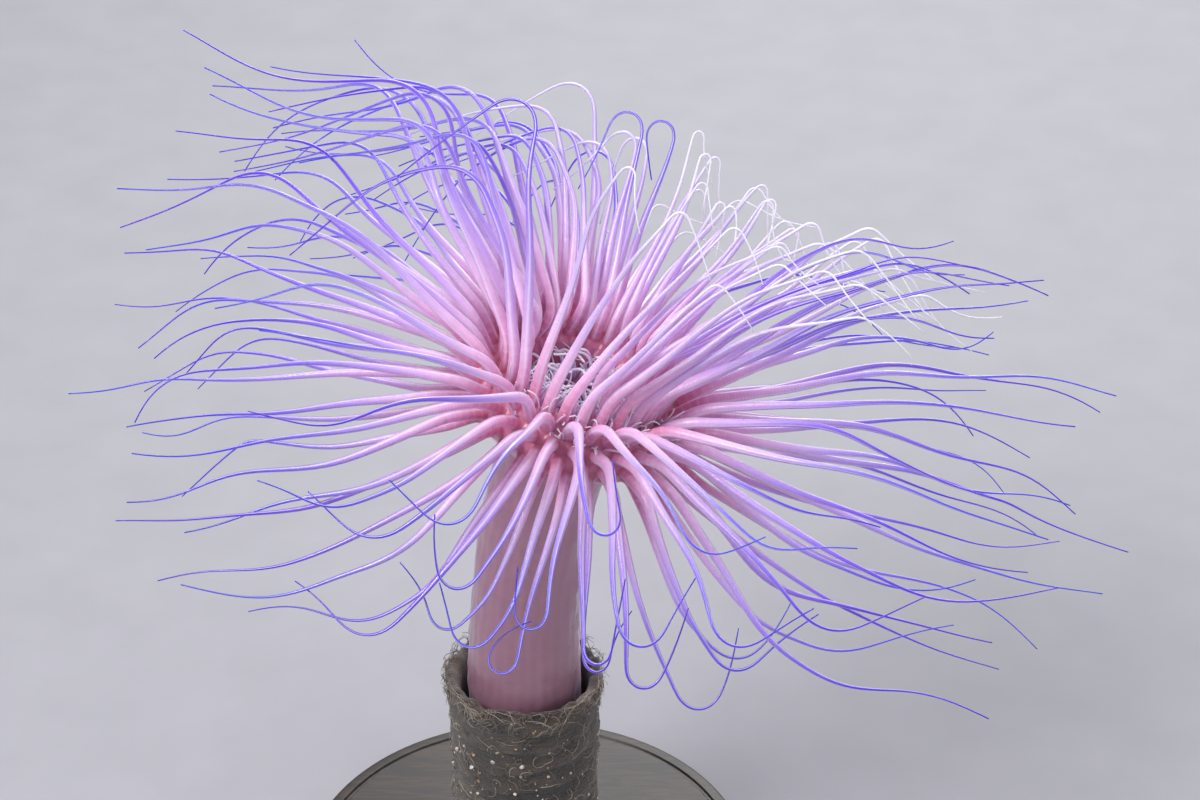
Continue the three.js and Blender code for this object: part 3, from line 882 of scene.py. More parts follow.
class Line:
    """A centre line walked along its stretches in short steps."""

    STEP = 1.5
    ROUND_BEND = 1.0
    FOLD = 0.4
    FOLD_BELOW = -0.45
    FOLD_TURN = 45
    TIP = 3
    ROOT_BEND = 15.0
    CURL = 60.0
    WAVE = 5.0
    WAVE_LENGTH = 75.0

    def __init__(self, sight: Sight, start: Vec, stretches: Sequence[Stretch], number: int) -> None:
        """Walks the line.

        Args:
            sight: the display view.
            start: the first point.
            stretches: the stretches in order.
            number: the tentacle's number, which sets its waves and curl.
        """
        self.total = sum(s.length for s in stretches)
        count = math.ceil(self.total / self.STEP)
        self.step = self.total / count
        s = (np.arange(count) + 0.5) * self.step
        turn = np.full(count, float(stretches[0].turn))
        away = np.full(count, float(stretches[0].away))
        self.folded = False
        end = 0.0
        for m in range(1, len(stretches)):
            a, b = stretches[m - 1], stretches[m]
            end += a.length
            down = sight.heading(b.turn, b.away)[2] < self.FOLD_BELOW
            falls = down and m == self.TIP and b.turn < self.FOLD_TURN
            self.folded = self.folded or bool(falls and a.turn > 0)
            width = (self.FOLD if falls else self.ROUND_BEND) * min(a.length, b.length)
            t = ease((s - end) / (self.ROOT_BEND if m == 1 else width) + 0.5)
            turn += t * (b.turn - a.turn)
            away += t * (b.away - a.away)
        tip = stretches[-1].length
        in_tip = ease((s - self.total + tip) / tip)
        wave = self.WAVE * ease(2 * s / self.total)
        phase = 2 * math.pi * s / (self.WAVE_LENGTH * (0.8 + 0.5 * uneven(number, Purpose.WAVE_LENGTH)))
        curl = self.CURL * either(number, Purpose.CURL_WAY) * uneven(number, Purpose.CURL_SHARE)
        turn += wave * np.sin(phase + 6 * uneven(number, Purpose.WAVE_TURN)) + curl * in_tip
        away += wave * np.sin(0.8 * phase + 6 * uneven(number, Purpose.WAVE_AWAY))
        self.ways = sight.heading(turn, away)
        self.points = np.vstack([start, start + np.cumsum(self.ways * self.step, axis=0)])

    def at(self, distance: np.ndarray) -> np.ndarray:
        """The points at distances along the line."""
        return across(self.points, np.arange(len(self.points)) * self.step, distance)

    def places(self, spacing: Spacing) -> np.ndarray:
        """Distances along the line for rings, closer together where it bends.

        Args:
            spacing: how far apart the rings stand.

        Returns:
            Distances from 0 to the whole length.
        """
        straight = np.clip(np.sum(self.ways[1:] * self.ways[:-1], axis=1), -1, 1)
        turned = np.concatenate([[0.0], np.degrees(np.arccos(straight))])
        measure = np.concatenate([[0.0], np.cumsum(self.step / spacing.length + turned / spacing.turn)])
        count = max(spacing.at_least, math.floor(measure[-1] + 0.5))
        wanted = np.linspace(0, measure[-1], count + 1)
        return np.interp(wanted, measure, np.arange(len(measure)) * self.step)


@dataclass
class Tentacle:
    """One tentacle: where it grows, the line it was given and where its rings came to lie."""

    kind: Kind
    number: int
    azimuth: float
    angle: float
    direction: Vec
    line: Line
    places: np.ndarray = field(init=False)
    rings: np.ndarray = field(init=False)

    RIM_RINGS = Spacing(48, 50, 5)
    LABIAL_RINGS = Spacing(30, 75, 3)
    LIFT = 0.8
    # The radius at the root and at the end, and the power of the taper between them.
    TAPERS = {Kind.MARGINAL: (2.35, 0.34, 1.3), Kind.SLENDER: (1.9, 0.3, 1.2), Kind.LABIAL: (0.85, 0.4, 1)}
    BUD_RADIUS = 1.4
    BUD_TAPER = 0.35
    SOFTENING = 40

    def __post_init__(self) -> None:
        """Sets the few rings that the solids have, with the first lifted clear of the tissue."""
        spacing = self.LABIAL_RINGS if self.kind in (Kind.LABIAL, Kind.BUD) else self.RIM_RINGS
        self.places = self.line.places(spacing)
        self.rings = self.line.at(self.places)
        self.rings[0] += self.LIFT * self.direction

    def radius(self, place: np.ndarray) -> np.ndarray:
        """Its radius at distances along it.

        Args:
            place: the distances.

        Returns:
            A radius for each.
        """
        t = np.clip(place / self.line.total, 0, 1)
        if self.kind is Kind.BUD:
            return self.BUD_RADIUS - self.BUD_TAPER * t ** 2
        root, end, power = self.TAPERS[self.kind]
        return end + (root - end) * (1 - t) ** power

    def refine(self, places: np.ndarray) -> None:
        """Takes finer rings, moved as far as the few rings round them were.

        Args:
            places: the distances of the finer rings.
        """
        moved = self.rings - self.line.at(self.places)
        moved[0] = 0
        fine = np.arange(0, self.line.total, Line.STEP)
        shift = softened(across(moved, self.places, fine), self.SOFTENING)
        self.rings = self.line.at(places) + across(shift, fine, places)
        self.places = places


@dataclass(frozen=True)
class LieTable:
    """The lies of the rim's tentacles, mixed between rows and azimuths and made uneven."""

    sight: Sight
    rows: tuple[dict, ...] = (INNER, MIDDLE, OUTER)
    turn_sways: tuple[float, ...] = (5, 10, 15)
    away_sways: tuple[float, ...] = (7, 11, 13)
    size_spread: float = 0.12
    length_spread: float = 0.15
    root_lengths: Pair = (10, 8)

    def _lie(self, row: dict, azimuth: float) -> np.ndarray:
        """Mixes a row's two nearest lies.

        Args:
            row: the row.
            azimuth: where on the row.

        Returns:
            A direction and a length for each stretch.
        """
        keys = list(row)
        after = next((n for n, key in enumerate(keys) if key > azimuth), 0)
        before = (after - 1) % len(keys)
        span = (keys[after] - keys[before]) % 360
        t = (azimuth - keys[before]) / span
        ends = [
            np.array([[*self.sight.heading(turn, away), length] for turn, away, length in row[keys[n]]])
            for n in (before, after)
        ]
        return ends[0] * (1 - t) + ends[1] * t

    def stretches(self, number: int, share: float, azimuth: float, root: Vec) -> list[Stretch]:
        """The stretches of a tentacle.

        Args:
            number: its number.
            share: 0 on the inner cycle and 1 on the outer one.
            azimuth: where it stands round the crown.
            root: the way that it leaves the rim.

        Returns:
            Its root, stem, bend and tip.
        """
        place = share * (len(self.rows) - 1)
        low = 0 if place < 1 else 1
        a, b = self._lie(self.rows[low], azimuth), self._lie(self.rows[low + 1], azimuth)
        lie = a * (1 - place + low) + b * (place - low)
        size = 1 + self.size_spread * either(number, Purpose.SIZE)
        length = spread(self.root_lengths, number, Purpose.ROOT_LENGTH)
        made = [Stretch(*self.sight.angles(root, 0), length)]
        for m, row in enumerate(lie):
            turn, away = self.sight.angles(row[:3], made[m].turn)
            turn += self.turn_sways[m] * either(number, Purpose.TURN + m)
            away += self.away_sways[m] * either(number, Purpose.AWAY + m)
            longer = 1 + self.length_spread * either(number, Purpose.LENGTH + m)
            made.append(Stretch(turn, away, row[3] * size * longer))
        return made


@dataclass(frozen=True)
class Clearance:
    """Moves crossing tentacles apart, a little at a time, until each lies clear of the others.

    Room is what two centre lines keep: this share of both radii and a gap. The first rings of each are held,
    and a tentacle isn't kept clear of its own nearest rings.
    """

    LEAST = 0.02
    TOUCHING = 0.05

    share: float
    gap: float
    reach: float
    skip: int
    held: int
    softness: int
    rounds: int

    def settle(self, tentacles: Sequence[Tentacle], resting: int = 0) -> None:
        """Moves the rings of the tentacles.

        Args:
            tentacles: all that must lie clear of each other.
            resting: how many of the first ones stay where they are.
        """
        counts = [len(t.rings) for t in tentacles]
        first = np.concatenate([[0], np.cumsum(counts)])[:-1]
        owner = np.concatenate([np.full(n - 1, o) for o, n in enumerate(counts)])
        ring = np.concatenate([np.arange(n - 1) for n in counts])
        start = first[owner] + ring
        points = np.vstack([t.rings for t in tentacles])
        radii = np.concatenate([t.radius(t.places) for t in tentacles])
        one, two = self._near(points, start, owner, ring)
        free = np.concatenate([ease((np.arange(n) - self.held + 1) / max(1, self.held)) for n in counts])
        free[:sum(counts[:resting])] = 0
        for _ in range(self.rounds):
            p, q = points[start[one]], points[start[one] + 1]
            c, d = points[start[two]], points[start[two] + 1]
            s, t = self._closest(p, q, c, d)
            between = p + s[:, None] * (q - p) - c - t[:, None] * (d - c)
            apart = np.linalg.norm(between, axis=1)
            ra = radii[start[one]] * (1 - s) + radii[start[one] + 1] * s
            rb = radii[start[two]] * (1 - t) + radii[start[two] + 1] * t
            short = self.share * (ra + rb) + self.gap - apart
            rooted = ring[one] + ring[two] == 0
            if short[~rooted].max(initial=0) < self.LEAST:
                break
            touching = apart < self.TOUCHING
            between[touching] = np.cross(q - p, d - c)[touching]
            hit = short > 0
            by = unit(between[hit]) * (0.5 * short[hit] + self.LEAST)[:, None]
            moves, weights = np.zeros_like(points), np.zeros(len(points))
            for segment, share, sign in ((one[hit], s[hit], 2), (two[hit], t[hit], -2)):
                for end, part in ((0, 1 - share), (1, share)):
                    np.add.at(moves, start[segment] + end, sign * by * part[:, None])
                    np.add.at(weights, start[segment] + end, part)
            moves *= (free / np.maximum(1, weights))[:, None]
            for begin, count in zip(first, counts):
                points[begin:begin + count] += softened(moves[begin:begin + count], self.softness)
        for tentacle, begin, count in zip(tentacles, first, counts):
            tentacle.rings = points[begin:begin + count]

    def _near(self, points: np.ndarray, start: np.ndarray, owner: np.ndarray, ring: np.ndarray) -> tuple:
        """Finds the pairs of segments that might touch.

        Args:
            points: all ring centres.
            start: each segment's first point.
            owner: each segment's tentacle.
            ring: each segment's number along it.

        Returns:
            The numbers of each pair's two segments.
        """
        middle = (points[start] + points[start + 1]) / 2
        half = np.linalg.norm(points[start + 1] - points[start], axis=1) / 2
        tree = kdtree.KDTree(len(middle))
        for number, place in enumerate(middle):
            tree.insert(place, number)
        tree.balance()
        furthest = 2 * float(half.max()) + self.reach
        found = [
            (a, b) for a, place in enumerate(middle)
            for _, b, _ in tree.find_range(place, furthest) if b > a
        ]
        one, two = np.array(sorted(found)).T
        close = np.linalg.norm(middle[one] - middle[two], axis=1) < half[one] + half[two] + self.reach
        other = (owner[one] != owner[two]) | (ring[two] - ring[one] >= self.skip)
        return one[close & other], two[close & other]

    @staticmethod
    def _closest(p: Vec, q: Vec, c: Vec, d: Vec) -> tuple[np.ndarray, np.ndarray]:
        """Finds where pairs of segments are closest.

        Args:
            p: the starts of the first segments.
            q: their ends.
            c: the starts of the second ones.
            d: their ends.

        Returns:
            The places on the first and the second segments, from 0 to 1 along each.
        """
        u, v, w = q - p, d - c, p - c
        uu, uv, vv = (u * u).sum(1), (u * v).sum(1), (v * v).sum(1)
        uw, vw = (u * w).sum(1), (v * w).sum(1)
        det = uu * vv - uv * uv
        s = np.where(det > 1e-9, np.clip((uv * vw - vv * uw) / np.maximum(det, 1e-9), 0, 1), 0)
        t = (uv * s + vw) / vv
        over = (t < 0) | (t > 1)
        t = np.clip(t, 0, 1)
        return np.where(over, np.clip((t * uv - uw) / uu, 0, 1), s), t


# The rings of the short tentacles and the threads, as they are drawn.
FINE_SHORT = Spacing(1.9, 24, 8)


def curled(
    turn: float, away: float, curl: float, sways: Sequence[float], length: float,
) -> tuple[Stretch, ...]:
    """The three stretches of a short curly line.

    Args:
        turn: the turn that it starts with.
        away: the away that it starts with.
        curl: how far it turns in all.
        sways: how far the second and third stretches tip away.
        length: its whole length.

    Returns:
        The stretches.
    """
    return (
        Stretch(turn, away, length * 0.35),
        Stretch(turn + 0.4 * curl, away + sways[0], length * 0.35),
        Stretch(turn + curl, away + sways[1], length * 0.3),
    )


@dataclass
class Tentacles:
    """All tentacles, laid as the solids have them and then drawn finely."""

    sight: Sight
    crown: Crown
    # The angle round the rim's section at which each cycle stands.
    cycles: tuple[float, ...] = (80, 55, 30, 5)
    slender_cycles: Pair = (105, -20)
    per_cycle: int = 30
    # The azimuths between which the innermost cycle is bare.
    bare: Pair = (196, 262)
    labials: int = 28
    labial_rows: Pair = (9.3, 10.5)
    labial_leans: Pair = (-0.21, 0.35)
    labial_height: float = 1.5
    labial_length: float = 19
    labial_curl: float = 150
    labial_sway: float = 50
    labial_first: int = 200
    slender_first: int = 400
    bud_first: int = 600
    # The azimuth, turn, curl and length of each bud.
    buds: tuple[tuple[float, float, float, float], ...] = (
        (15, 64, 10, 13), (3, 100, 70, 10), (351, 70, -30, 9), (198, 92, 30, 12), (219, 84, -16, 10),
    )
    bud_place: Pair = (21, 8.1)
    root_rings: tuple[float, ...] = (0.0, 0.9, 2.0, 3.6)
    root_gap: float = 1.2
    fine_rim: Spacing = Spacing(4.6, 15, 20)
    coarse: Clearance = Clearance(share=1.17, gap=0.55, reach=14, skip=3, held=1, softness=0, rounds=100)
    fine: Clearance = Clearance(share=1.0, gap=0.3, reach=3, skip=6, held=4, softness=2, rounds=30)

    def build(self) -> list[Tentacle]:
        """Lays all tentacles.

        Returns:
            The tentacles with fine rings that lie clear of each other.
        """
        made = [*self._marginal(), *self._labial()]
        self.coarse.settle(made)
        resting = len(made)
        made += self._slender()
        self.coarse.settle(made, resting)
        made += self._buds()
        for tentacle in made:
            short = tentacle.kind in (Kind.LABIAL, Kind.BUD)
            places = tentacle.line.places(FINE_SHORT if short else self.fine_rim)
            roots = (0.0,) if short else self.root_rings
            tentacle.refine(np.array([*roots, *places[places > roots[-1] + self.root_gap]]))
        self.fine.settle(made)
        return made

    def _on_rim(self, kind: Kind, number: int, share: float, azimuth: float, angle: float) -> Tentacle:
        """Lays one tentacle that grows on the rim.

        Args:
            kind: its kind.
            number: its number.
            share: 0 on the inner cycle and 1 on the outer one.
            azimuth: where it stands round the crown.
            angle: where it stands round the rim's section.

        Returns:
            The tentacle.
        """
        root = self.crown.rim(azimuth, angle, self.crown.rim_section)
        direction = unit(root - self.crown.rim(azimuth, angle, 0))
        stretches = LieTable(self.sight).stretches(number, share, azimuth, direction)
        return Tentacle(kind, number, azimuth, angle, direction, Line(self.sight, root, stretches, number))

    def _marginal(self) -> Iterable[Tentacle]:
        """The long tentacles of the rim, cycle by cycle.

        Yields:
            Each tentacle in turn.
        """
        for cycle, angle in enumerate(self.cycles):
            for k in range(self.per_cycle):
                azimuth = 360 * (k + 0.25 + 0.5 * (cycle % 2)) / self.per_cycle
                share = cycle / (len(self.cycles) - 1)
                yield self._on_rim(Kind.MARGINAL, cycle * self.per_cycle + k, share, azimuth, angle)

    def _slender(self) -> Iterable[Tentacle]:
        """The slender tentacles of the innermost and outermost cycles, too many for the solids.

        Yields:
            Each tentacle in turn.
        """
        for cycle, angle in enumerate(self.slender_cycles):
            for k in range(self.per_cycle):
                azimuth = 360 * (k + 0.75 - 0.5 * cycle) / self.per_cycle
                if cycle == 0 and self.bare[0] < azimuth < self.bare[1]:
                    continue
                number = self.slender_first + cycle * self.per_cycle + k
                yield self._on_rim(Kind.SLENDER, number, cycle, azimuth, angle)

    def _buds(self) -> Iterable[Tentacle]:
        """The blunt young tentacles that stand inside the rim, on the right.

        Yields:
            Each tentacle in turn.
        """
        for n, (azimuth, turn, curl, length) in enumerate(self.buds):
            root = self.crown.point(azimuth, *self.bud_place)
            direction = unit(self.crown.axis - 0.5 * self.crown.outward(azimuth))
            stretches = (
                Stretch(turn, 0, length * 0.4),
                Stretch(turn + 0.5 * curl, 10, length * 0.3),
                Stretch(turn + curl, 10, length * 0.3),
            )
            number = self.bud_first + n
            line = Line(self.sight, root, stretches, number)
            yield Tentacle(Kind.BUD, number, azimuth, 0, direction, line)

    def _labial(self) -> Iterable[Tentacle]:
        """The short curly tentacles round the mouth, in two staggered rows.

        Yields:
            Each tentacle in turn.
        """
        for k in range(self.labials):
            azimuth = 360 * (k + 0.5) / self.labials
            root = self.crown.point(azimuth, self.labial_rows[k % 2], self.labial_height)
            lean = self.labial_leans[k % 2]
            direction = unit(self.crown.axis + self.crown.outward(azimuth) * lean)
            turn, away = self.sight.angles(direction, 60)
            curl = self.labial_curl * (1 if k % 3 else -1) * spread((0.6, 0.4), k, Purpose.LABIAL_CURL)
            length = self.labial_length * spread((0.8, 0.4), k, Purpose.LABIAL_LENGTH)
            purposes = (Purpose.LABIAL_BEND, Purpose.LABIAL_TIP)
            sways = [self.labial_sway * either(k, purpose) for purpose in purposes]
            number = self.labial_first + k
            line = Line(self.sight, root, curled(turn, away, curl, sways, length), number)
            yield Tentacle(Kind.LABIAL, number, azimuth, 0, direction, line)


# ---- Grown surfaces ----


@dataclass(frozen=True)
class Patch:
    """A rectangle of the unwrapped skin."""

    left: float
    bottom: float
    width: float
    height: float

    MARGIN = 0.002

    @classmethod
    def tile(cls, number: int, across: int, size: float) -> Patch:
        """One tile of a square sheet with so many tiles across, numbered along its rows."""
        row, column = divmod(number, across)
        return cls(column / across + cls.MARGIN, row / across + cls.MARGIN, size, size)

    def place(self, u: float, v: float) -> Pair:
        """A point of the patch, from 0 to 1 across it and up it."""
        return self.left + self.width * u, self.bottom + self.height * v


class Growth:
    """A surface grown from rings of corners that are zipped together, with numbers for its finish."""

    def __init__(self, names: Sequence[str], streaks: int = 0) -> None:
        """Starts an empty surface.

        Args:
            names: the numbers that each corner carries, besides its place.
            streaks: how often the last of them rises and falls round a ring, if it does.
        """
        self.names = names
        self.streaks = streaks
        self.corners: list[Vec] = []
        self.numbers: list[tuple[float, ...]] = []
        self.faces: list[tuple[int, ...]] = []
        self.unwrap: list[Pair] = []

    def corner(self, place: Vec, numbers: tuple[float, ...]) -> int:
        """Adds a corner and returns its number."""
        self.corners.append(place)
        self.numbers.append(numbers)
        return len(self.corners) - 1

    def ring(
        self, centre: Vec, along: Vec, side: Vec, radius: float, sides: int, numbers: tuple,
    ) -> list[int]:
        """Adds a round ring of corners.

        Args:
            centre: its middle.
            along: the way that it faces.
            side: the way to its first corner.
            radius: its radius.
            sides: how many corners it has.
            numbers: what each corner carries; the last is left to the streaks where there are any.

        Returns:
            The corners' numbers, anticlockwise seen from ahead.
        """
        turns = 2 * math.pi * np.arange(sides) / sides
        other = np.cross(along, side)
        places = centre + radius * (np.outer(np.cos(turns), side) + np.outer(np.sin(turns), other))
        if not self.streaks:
            return [self.corner(place, numbers) for place in places]
        waves = np.cos(self.streaks * turns)
        return [self.corner(place, (*numbers[:-1], wave)) for place, wave in zip(places, waves)]

    def zip(self, below: list[int], above: list[int], patch: Patch, low: float, high: float) -> None:
        """Closes the wall between two rings, which may differ in their number of corners.

        Args:
            below: the lower ring.
            above: the upper ring.
            patch: the part of the unwrapped skin that the whole wall has.
            low: how far up the patch the lower ring stands.
            high: how far up it the upper ring stands.
        """
        m, n = len(below), len(above)
        if m == n:
            for i in range(m):
                j = (i + 1) % m
                self.faces.append((below[i], below[j], above[j], above[i]))
                for u, v in ((i, low), (i + 1, low), (i + 1, high), (i, high)):
                    self.unwrap.append(patch.place(u / m, v))
            return
        i = j = 0
        while i < m or j < n:
            if i < m and (j >= n or (i + 1) / m <= (j + 1) / n):
                self.faces.append((below[i], below[(i + 1) % m], above[j % n]))
                corners = ((i / m, low), ((i + 1) / m, low), (j / n, high))
                i += 1
            else:
                self.faces.append((below[i % m], above[(j + 1) % n], above[j]))
                corners = ((i / m, low), ((j + 1) / n, high), (j / n, high))
                j += 1
            self.unwrap += [patch.place(u, v) for u, v in corners]

    def close(self, ring: list[int], pole: Vec, patch: Patch, high: float, ahead: bool = True) -> None:
        """Closes a ring with a fan to a pole.

        Args:
            ring: the ring.
            pole: where the fan meets.
            patch: the part of the unwrapped skin.
            high: how far up it the ring stands.
            ahead: whether the fan faces ahead or back.
        """
        top = self.corner(pole, self.numbers[ring[0]])
        count = len(ring)
        for i in range(count):
            pair = (ring[i], ring[(i + 1) % count])
            self.faces.append((*pair, top) if ahead else (*pair[::-1], top))
            self.unwrap += [patch.place(u / count, high) for u in (i, i + 1, i + 0.5)]

    def tube(
        self, centres: Vec, radii: Vec, sides: Sequence[int], numbers: Sequence[tuple], patch: Patch,
    ) -> None:
        """Adds a thin tube, closed at both ends.

        Args:
            centres: its ring centres.
            radii: its radius at each.
            sides: its number of corners at each.
            numbers: what the corners of each ring carry.
            patch: its part of the unwrapped skin.
        """
        ways = unit(np.gradient(centres, axis=0))
        side = unit(np.cross(ways[0], (0.3, -0.5, 0.8)))
        ring = self.ring(centres[0], ways[0], side, radii[0], sides[0], numbers[0])
        self.close(ring, centres[0] - ways[0] * radii[0] * 0.5, patch, 0, ahead=False)
        self.grow(ring, side, centres[1:], ways[1:], radii[1:], sides[1:], numbers[1:], patch)

    def grow(
        self, ring: list[int], side: Vec, centres: Vec, ways: Vec, radii: Vec, sides: Sequence[int],
        numbers: Sequence[tuple], patch: Patch,
    ) -> None:
        """Carries a wall on from a ring through further rings, and closes its end.

        Args:
            ring: the ring that it starts from.
            side: the way from that ring's middle to its first corner.
            centres: the further rings' middles.
            ways: the ways that they face.
            radii: their radii.
            sides: how many corners each has.
            numbers: what the corners of each ring carry.
            patch: the wall's part of the unwrapped skin.
        """
        count = len(centres)
        for n in range(count):
            side = unit(side - ways[n] * np.dot(side, ways[n]))
            above = self.ring(centres[n], ways[n], side, radii[n], sides[n], numbers[n])
            self.zip(ring, above, patch, n / (count + 1), (n + 1) / (count + 1))
            ring = above
        self.close(ring, centres[-1] + ways[-1] * radii[-1] * 0.8, patch, count / (count + 1))

    def build(self, name: str) -> bpy.types.Object:
        """Makes the object.

        Args:
            name: its name.

        Returns:
            The object, smooth, with its unwrap in the map OFBake.
        """
        mesh = bpy.data.meshes.new(name)
        mesh.from_pydata((np.array(self.corners) * MM).tolist(), [], self.faces)
        mesh.polygons.foreach_set("use_smooth", np.ones(len(self.faces), bool))
        layer = mesh.uv_layers.new(name="OFBake")
        layer.data.foreach_set("uv", np.array(self.unwrap, np.float32).ravel())
        obj = bpy.data.objects.new(name, mesh)
        bpy.context.scene.collection.objects.link(obj)
        write_values(obj, dict(zip(self.names, np.array(self.numbers).T)))
        return obj


# ---- The skin ----


@dataclass(frozen=True)
class ThreadSet:
    """A set of fine threads: its first number, how many are tried, and where and how each grows.

    Of each pair, the second is the most that is added to the first. A step is a share of the way to the next
    thread. Across is a radius on the disc and the lips, and an angle round the section on the rim.
    """

    first: int
    count: int
    azimuths: Pair
    steps: Pair
    across: Pair
    leans: Pair
    lengths: Pair

    def azimuth(self, number: int, k: int) -> float:
        """The azimuth of a thread by its number and its place in the set."""
        turn = k + spread(self.steps, number, Purpose.THREAD_ROUND)
        return self.azimuths[0] + self.azimuths[1] * (turn / self.count)


@dataclass
class Skin:
    """All the flesh as one skin: column, disc, lips and mouth, with the tentacles grown from the rim."""

    sight: Sight
    crown: Crown
    segments: int = 180
    # In degrees: a round of the rim, and half of a root's hole over the rim and along it.
    row: float = 5.0
    half_row: float = 10.0
    half_azimuth: float = 4.0
    on_rim: float = 0.6
    soft_lift: float = 1.5
    soft_angles: Pair = (-45, 130)
    foot: float = 24
    bend_from: float = 100
    column_rounds: int = 40
    # Places along the column, from 0 to 1, and the radius at each.
    column_radii: tuple[Pair, ...] = (
        (0, 5), (0.02, 12), (0.08, 18), (0.3, 21), (0.43, 21.5), (0.7, 20), (1, 20.5),
    )
    # Where the column ends, the disc and the lips lie and the mouth's slit starts, as places on the body.
    column_end: float = 0.5
    disc_places: Pair = (0.71, 0.87)
    lip_places: Pair = (0.86, 0.93)
    slit_place: float = 0.895
    lump_depth: float = 0.7
    fold_depth: float = 0.9
    line_depth: float = 0.05
    rib_depth: float = 0.3
    pleat_depth: float = 0.28
    slit_pinch: float = 0.45
    fining: float = 0.3
    flare: float = 0.3
    flare_length: float = 3.2
    sunk: float = 1.4
    merged: float = 0.02
    rim_place: float = 0.6
    lip_place: float = 0.885
    stripes: int = 30
    # How many pale streaks run round each tentacle's rings; the finish paints them as highlights.
    streaks: int = 3
    # The tentacles over the mouth stand between these azimuths and above this angle; a share of them is
    # whitened as painted light.
    pale_azimuths: Pair = (72, 118)
    pale_above: float = 50
    pale_share: float = 0.4
    thread_size: float = 0.55
    thread_tries: int = 12
    next_try: int = 1000
    crowd_step: float = 0.2
    crowd_reach: float = 25
    thread_slack: float = 0.1
    thread_away: float = 60
    thread_curl: float = 210
    thread_sway: float = 60
    lip_threads: ThreadSet = ThreadSet(
        300, 60, azimuths=(0, 360), steps=(0, 0.5), across=(8.6, 2.9), leans=(-0.9, 1.8), lengths=(9, 8),
    )
    disc_threads: ThreadSet = ThreadSet(
        500, 96, azimuths=(196, 176), steps=(0, 1), across=(13.5, 8), leans=(0, -0.9), lengths=(7, 7),
    )
    rim_threads: ThreadSet = ThreadSet(
        700, 110, azimuths=(205, 125), steps=(0, 1), across=(42, 70), leans=(-3, 6), lengths=(8, 7),
    )
    body_strip: Patch = Patch(0.002, 0.002, 0.996, 0.2)
    names: tuple[str, ...] = ("along", "place", "tone", "pale", "labial", "length", "stripe")

    def build(self) -> None:
        """Makes the whole skin, one closed piece that stands for every node of flesh."""
        tentacles = Tentacles(self.sight, self.crown).build()
        LOG.info("laid %d tentacles", len(tentacles))
        rounds = self._rounds()
        turning = Turning("anemone_skin", rounds, self.segments, 360 / self.segments / 2)
        body = turning.build()
        LOG.info("turned the body")
        self._finish_body(body, rounds)
        turning.unwrap(body, self.body_strip, self._heights(rounds))
        self._open_rim(body, tentacles)
        grown = self._grow(tentacles)
        self._join(body, grown)
        self._soften_roots(body)
        flesh = [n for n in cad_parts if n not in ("stand_base", "felt_tube")]
        dressed(body, FleshFinish().material(), flesh)

    def _column_line(self, t: np.ndarray) -> tuple[np.ndarray, np.ndarray]:
        """The column's centre line: straight up in the tube, then leaning over to the crown's axis.

        Args:
            t: places along it, from 0 at the foot to 1 under the disc.

        Returns:
            The points, and the ways that the line runs there.
        """
        foot, bend = np.array((0, 0, self.foot)), np.array((0, 0, self.bend_from))
        centre, axis = np.array(self.crown.centre), self.crown.axis
        corner = centre - axis * centre[0] / axis[0]
        end = centre + axis * self.crown.underside
        u = np.linspace(0, 1, 200)[:, None]
        curve = (1 - u) ** 2 * bend + 2 * u * (1 - u) * corner + u ** 2 * end
        points = np.vstack([foot + (bend - foot) * np.linspace(0, 1, 100)[:, None], curve[1:]])
        lengths = np.concatenate([[0], np.cumsum(np.linalg.norm(np.diff(points, axis=0), axis=1))])
        at = across(points, lengths, t * lengths[-1])
        ways = unit(across(np.gradient(points, lengths, axis=0), lengths, t * lengths[-1]))
        return at, ways

    def _rounds(self) -> list[Round]:
        """The rounds of the body, from the foot up the column, over the rim and down into the mouth.

        Returns:
            The rounds, in that order.
        """
        t = np.concatenate([[0, 0.007, 0.015, 0.03, 0.05], np.linspace(0.08, 1, self.column_rounds)])
        at, ways = self._column_line(t)
        known, radii = np.array(self.column_radii).T
        radius = np.interp(t, known, radii)
        rounds = []
        for n in range(len(t)):
            side = unit(np.array((1, 0, 0)) - ways[n] * ways[n][0])
            rounds.append(Round(at[n], radius[n], ways[n], side, 0.45 * t[n]))
        for radius_here, height, place in self._crown_profile():
            centre = np.array(self.crown.centre) + self.crown.axis * height
            rounds.append(Round(centre, radius_here, self.crown.axis, self.crown.side, place))
        return rounds

    def _crown_profile(self) -> list[tuple[float, float, float]]:
        """The crown's profile: the radius and height of each round, and its place for the finish.

        Returns:
            The three values of each round, from the column's top to the throat.
        """
        rim, section = self.crown.rim_radius, self.crown.rim_section
        under = [(20.9, -26.5, 0.47), (21.8, -21.5, 0.48), (23.6, -17.2, 0.49), (26.6, -13.6, 0.5)]
        angles = [*range(-70, -30, 8), *np.arange(-30, 115.1, self.row)]
        round_rim = []
        for a in angles:
            radius = rim + section * math.cos(math.radians(a))
            round_rim.append((radius, section * math.sin(math.radians(a)), 0.52 + 0.001 * (a + 70)))
        throat = [(5.9, -5, 0.95), (5.3, -8, 0.965), (4.8, -11, 0.98), (4.0, -14, 0.99), (2.6, -16, 1.0)]
        return [*under, *round_rim, *self._funnel(), *throat]

    @staticmethod
    def _funnel() -> list[tuple[float, float, float]]:
        """The profile of the disc and the lips, from the rim inwards.

        Returns:
            The radius, the height and the place of each round.
        """
        disc = [
            (21.7, 9.0, 0.72), (20.3, 7.3, 0.74), (18.9, 5.6, 0.765), (17.3, 3.9, 0.79),
            (15.4, 2.2, 0.82), (13.8, 1.1, 0.84), (12.9, 0.6, 0.86),
        ]
        lips = [
            (12.2, 1.0, 0.87), (11.2, 1.6, 0.88), (9.9, 1.75, 0.885), (8.7, 1.5, 0.89),
            (7.7, 0.7, 0.9), (7.0, -0.6, 0.915), (6.5, -2.5, 0.93),
        ]
        return [*disc, *lips]

